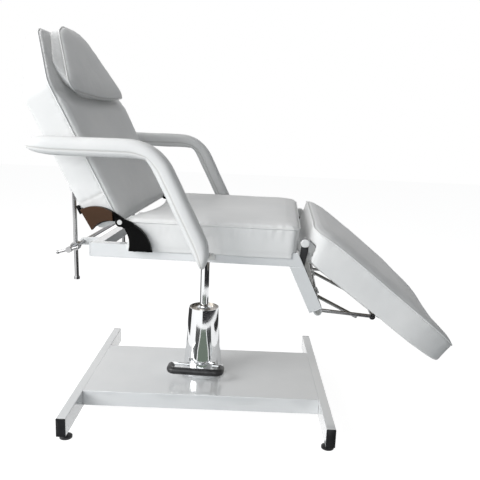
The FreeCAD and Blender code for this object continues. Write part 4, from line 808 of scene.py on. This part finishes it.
def rod_chrome():
    finish, tree, shader = new_finish("rod_chrome", (0.40, 0.40, 0.41), 0.12, 1.0)
    drawn = speckle(tree, 80.0, 4.0, (1, 1, 8))
    tree.links.new(spread(tree, drawn.outputs["Fac"], 0.08, 0.20), shader.inputs["Roughness"])
    worn = speckle(tree, 15.0, 4.0)
    shades = [(0.3, (0.32, 0.32, 0.33)), (0.7, (0.46, 0.46, 0.46))]
    tree.links.new(tone(tree, worn.outputs["Fac"], shades), shader.inputs["Base Color"])
    return finish


rod_metal = rod_chrome()
coat_parts(rod_metal, ["back_lock_rods", "back_clamp_shaft", "back_lever_left", "back_lever_right"])
coat_parts(enamel, ["rod_brackets"])

# Leg adjuster
# Chromed stays swing up from the front legs and their pins run in slots under the leg board.
# A pair of chromed levers on one shaft lets the catch go.
coat_parts(rod_metal, ["leg_stays", "leg_release_levers"])
coat_parts(zinc, ["stay_pivot_bolts", "leg_hinge_plates", "leg_hinge_pins"])
# The leg hinge brackets are black so that they read as the shade in the gap by the seat: painted shade.
coat_parts(plastic, ["leg_hinge_brackets"], 0.0012)

# Armrests
# A steel core bolted to the rail is wrapped in foam and white leatherette, sewn along both sides of the
# under panel. The rear end tapers to a tip, and the cover gathers on the inside of the bend.
coat_parts(zinc, ["arm_core_left", "arm_core_right", "arm_bolts"])


def rounded(along, length, power):
    """How far a rounded end has opened at a distance from its tip, from 0 to 1."""
    left = 1 - min(1.0, along / length)
    return (1 - left * left) ** power


def arm_run(slope, bend, thick, wide):
    """Stations along the armrest: place, direction, under side, top and half width."""
    level, corner, rear, step = 0.859, -0.2236, -0.5648, 0.006
    nose, toe = 0.003, 0.0165
    reach = bend * math.tan(slope / 2)
    stations = []
    for along in np.concatenate([[0.0002, 0.0012, 0.003, 0.0055, 0.009, 0.013, 0.018],
                                 np.arange(0.024, corner - reach - rear, step)]):
        low = -nose - (thick - nose) * rounded(along, 0.085, 0.54)
        high = -nose + (thick + nose) * rounded(along, 0.055, 0.45)
        half_wide = wide * rounded(along, 0.06, 0.5)
        stations.append((Vector((rear + along, 0, level)), 0.0, low, high, half_wide))
    for turn in np.linspace(0, slope, 22):
        place = Vector((corner - reach + bend * math.sin(turn), 0, level - bend + bend * math.cos(turn)))
        stations.append((place, turn, -thick, thick, wide))
    down = Vector((math.cos(slope), 0, -math.sin(slope)))
    start = Vector((corner, 0, level)) + down * reach
    length = 0.2704
    for along in np.concatenate([np.arange(step, length - 0.020, step), length - 0.018
                                 + np.array([0.0, 0.005, 0.009, 0.0125, 0.015, 0.0168, 0.0178])]):
        left = length - along
        low = -toe - (thick - toe) * rounded(left, 0.012, 0.5)
        high = -toe + (thick + toe) * rounded(left, 0.080, 0.75)
        half_wide = wide * rounded(left, 0.030, 0.5)
        stations.append((start + down * along, slope, low, high, half_wide))
    return stations


def arm_cover(side):
    slope, bend, wide, thick, around = math.radians(63.4), 0.112, 0.028, 0.025, 64
    arm_y, seam_share, seam_wide, seam_deep = 0.394, 0.34, 0.0020, 0.0018
    points, faces, dust_and_seam_shade = [], [], []
    stations = arm_run(slope, bend, thick, wide)
    for number, (place, turn, low, high, half_wide) in enumerate(stations):
        raised = Vector((math.sin(turn), 0, math.cos(turn)))
        bent = math.sin(math.pi * turn / slope) if 0 < turn < slope else 0.0
        sharper = min(1 / math.cos(turn), 1 / math.cos(slope - turn)) - 1
        crease = 0.8 * sharper * (bend - thick) * (bent > 0)
        half, middle = (high - low) / 2, (high + low) / 2
        for step in range(around):
            angle = 2 * math.pi * step / around
            across, up = math.cos(angle), math.sin(angle)
            power = 0.72 if up > 0 else 0.84
            y = half_wide * math.copysign(abs(across) ** power, across)
            share = math.copysign(abs(up) ** power, up)
            gap = abs(share + seam_share) * half
            near_seam = math.exp(-(gap / seam_wide) ** 2)
            groove = seam_deep * near_seam
            height = middle + half * share + crease * max(0.0, -share)
            here = place + raised * height + Vector((0, y, 0))
            gather = noise.noise(Vector((number * 0.55, step * 0.3, 5 + side)))
            wave = 0.0008 * math.exp(-gap / 0.010) * gather
            lump = 0.0009 * noise.noise(here * 16 + Vector((side, 0, 0)))
            pinch = noise.noise(Vector((number * 0.9, across * 0.6, 9)))
            fold = 0.0022 * bent * max(0.0, -up - 0.1) * pinch
            push = Vector((0, across, 0)) + raised * up
            here += push.normalized() * (wave + lump + fold - groove) * min(1.0, half / thick)
            points.append((here.x, here.y + side * arm_y, here.z))
            # Painted shade along the seams of the under panel, which darkens the cover's colour there.
            dust_and_seam_shade.append(near_seam)
    for number in range(len(stations) - 1):
        for step in range(around):
            first, after = number * around, (number + 1) * around
            nearby = (step + 1) % around
            faces.append((first + step, first + nearby, after + nearby, after + step))
    faces.append(tuple(range(around - 1, -1, -1)))
    last = (len(stations) - 1) * around
    faces.append(tuple(range(last, last + around)))
    label = "left" if side > 0 else "right"
    mesh = bpy.data.meshes.new(f"arm_cover_{label}")
    mesh.from_pydata(points, [], faces)
    layer = mesh.attributes.new("painted_seam_shade", "FLOAT", "POINT")
    layer.data.foreach_set("value", np.array(dust_and_seam_shade, np.float32))
    for face in mesh.polygons:
        face.use_smooth = True
    mesh.materials.append(leatherette)
    cover = bpy.data.objects.new(f"arm_cover_{label}", mesh)
    scene.collection.objects.link(cover)
    finer = cover.modifiers.new("finer mesh", "SUBSURF")
    finer.levels = finer.render_levels = 1
    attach(cover, "frame")
    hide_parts(f"arm_pad_{label}")


arm_cover(-1)
arm_cover(1)
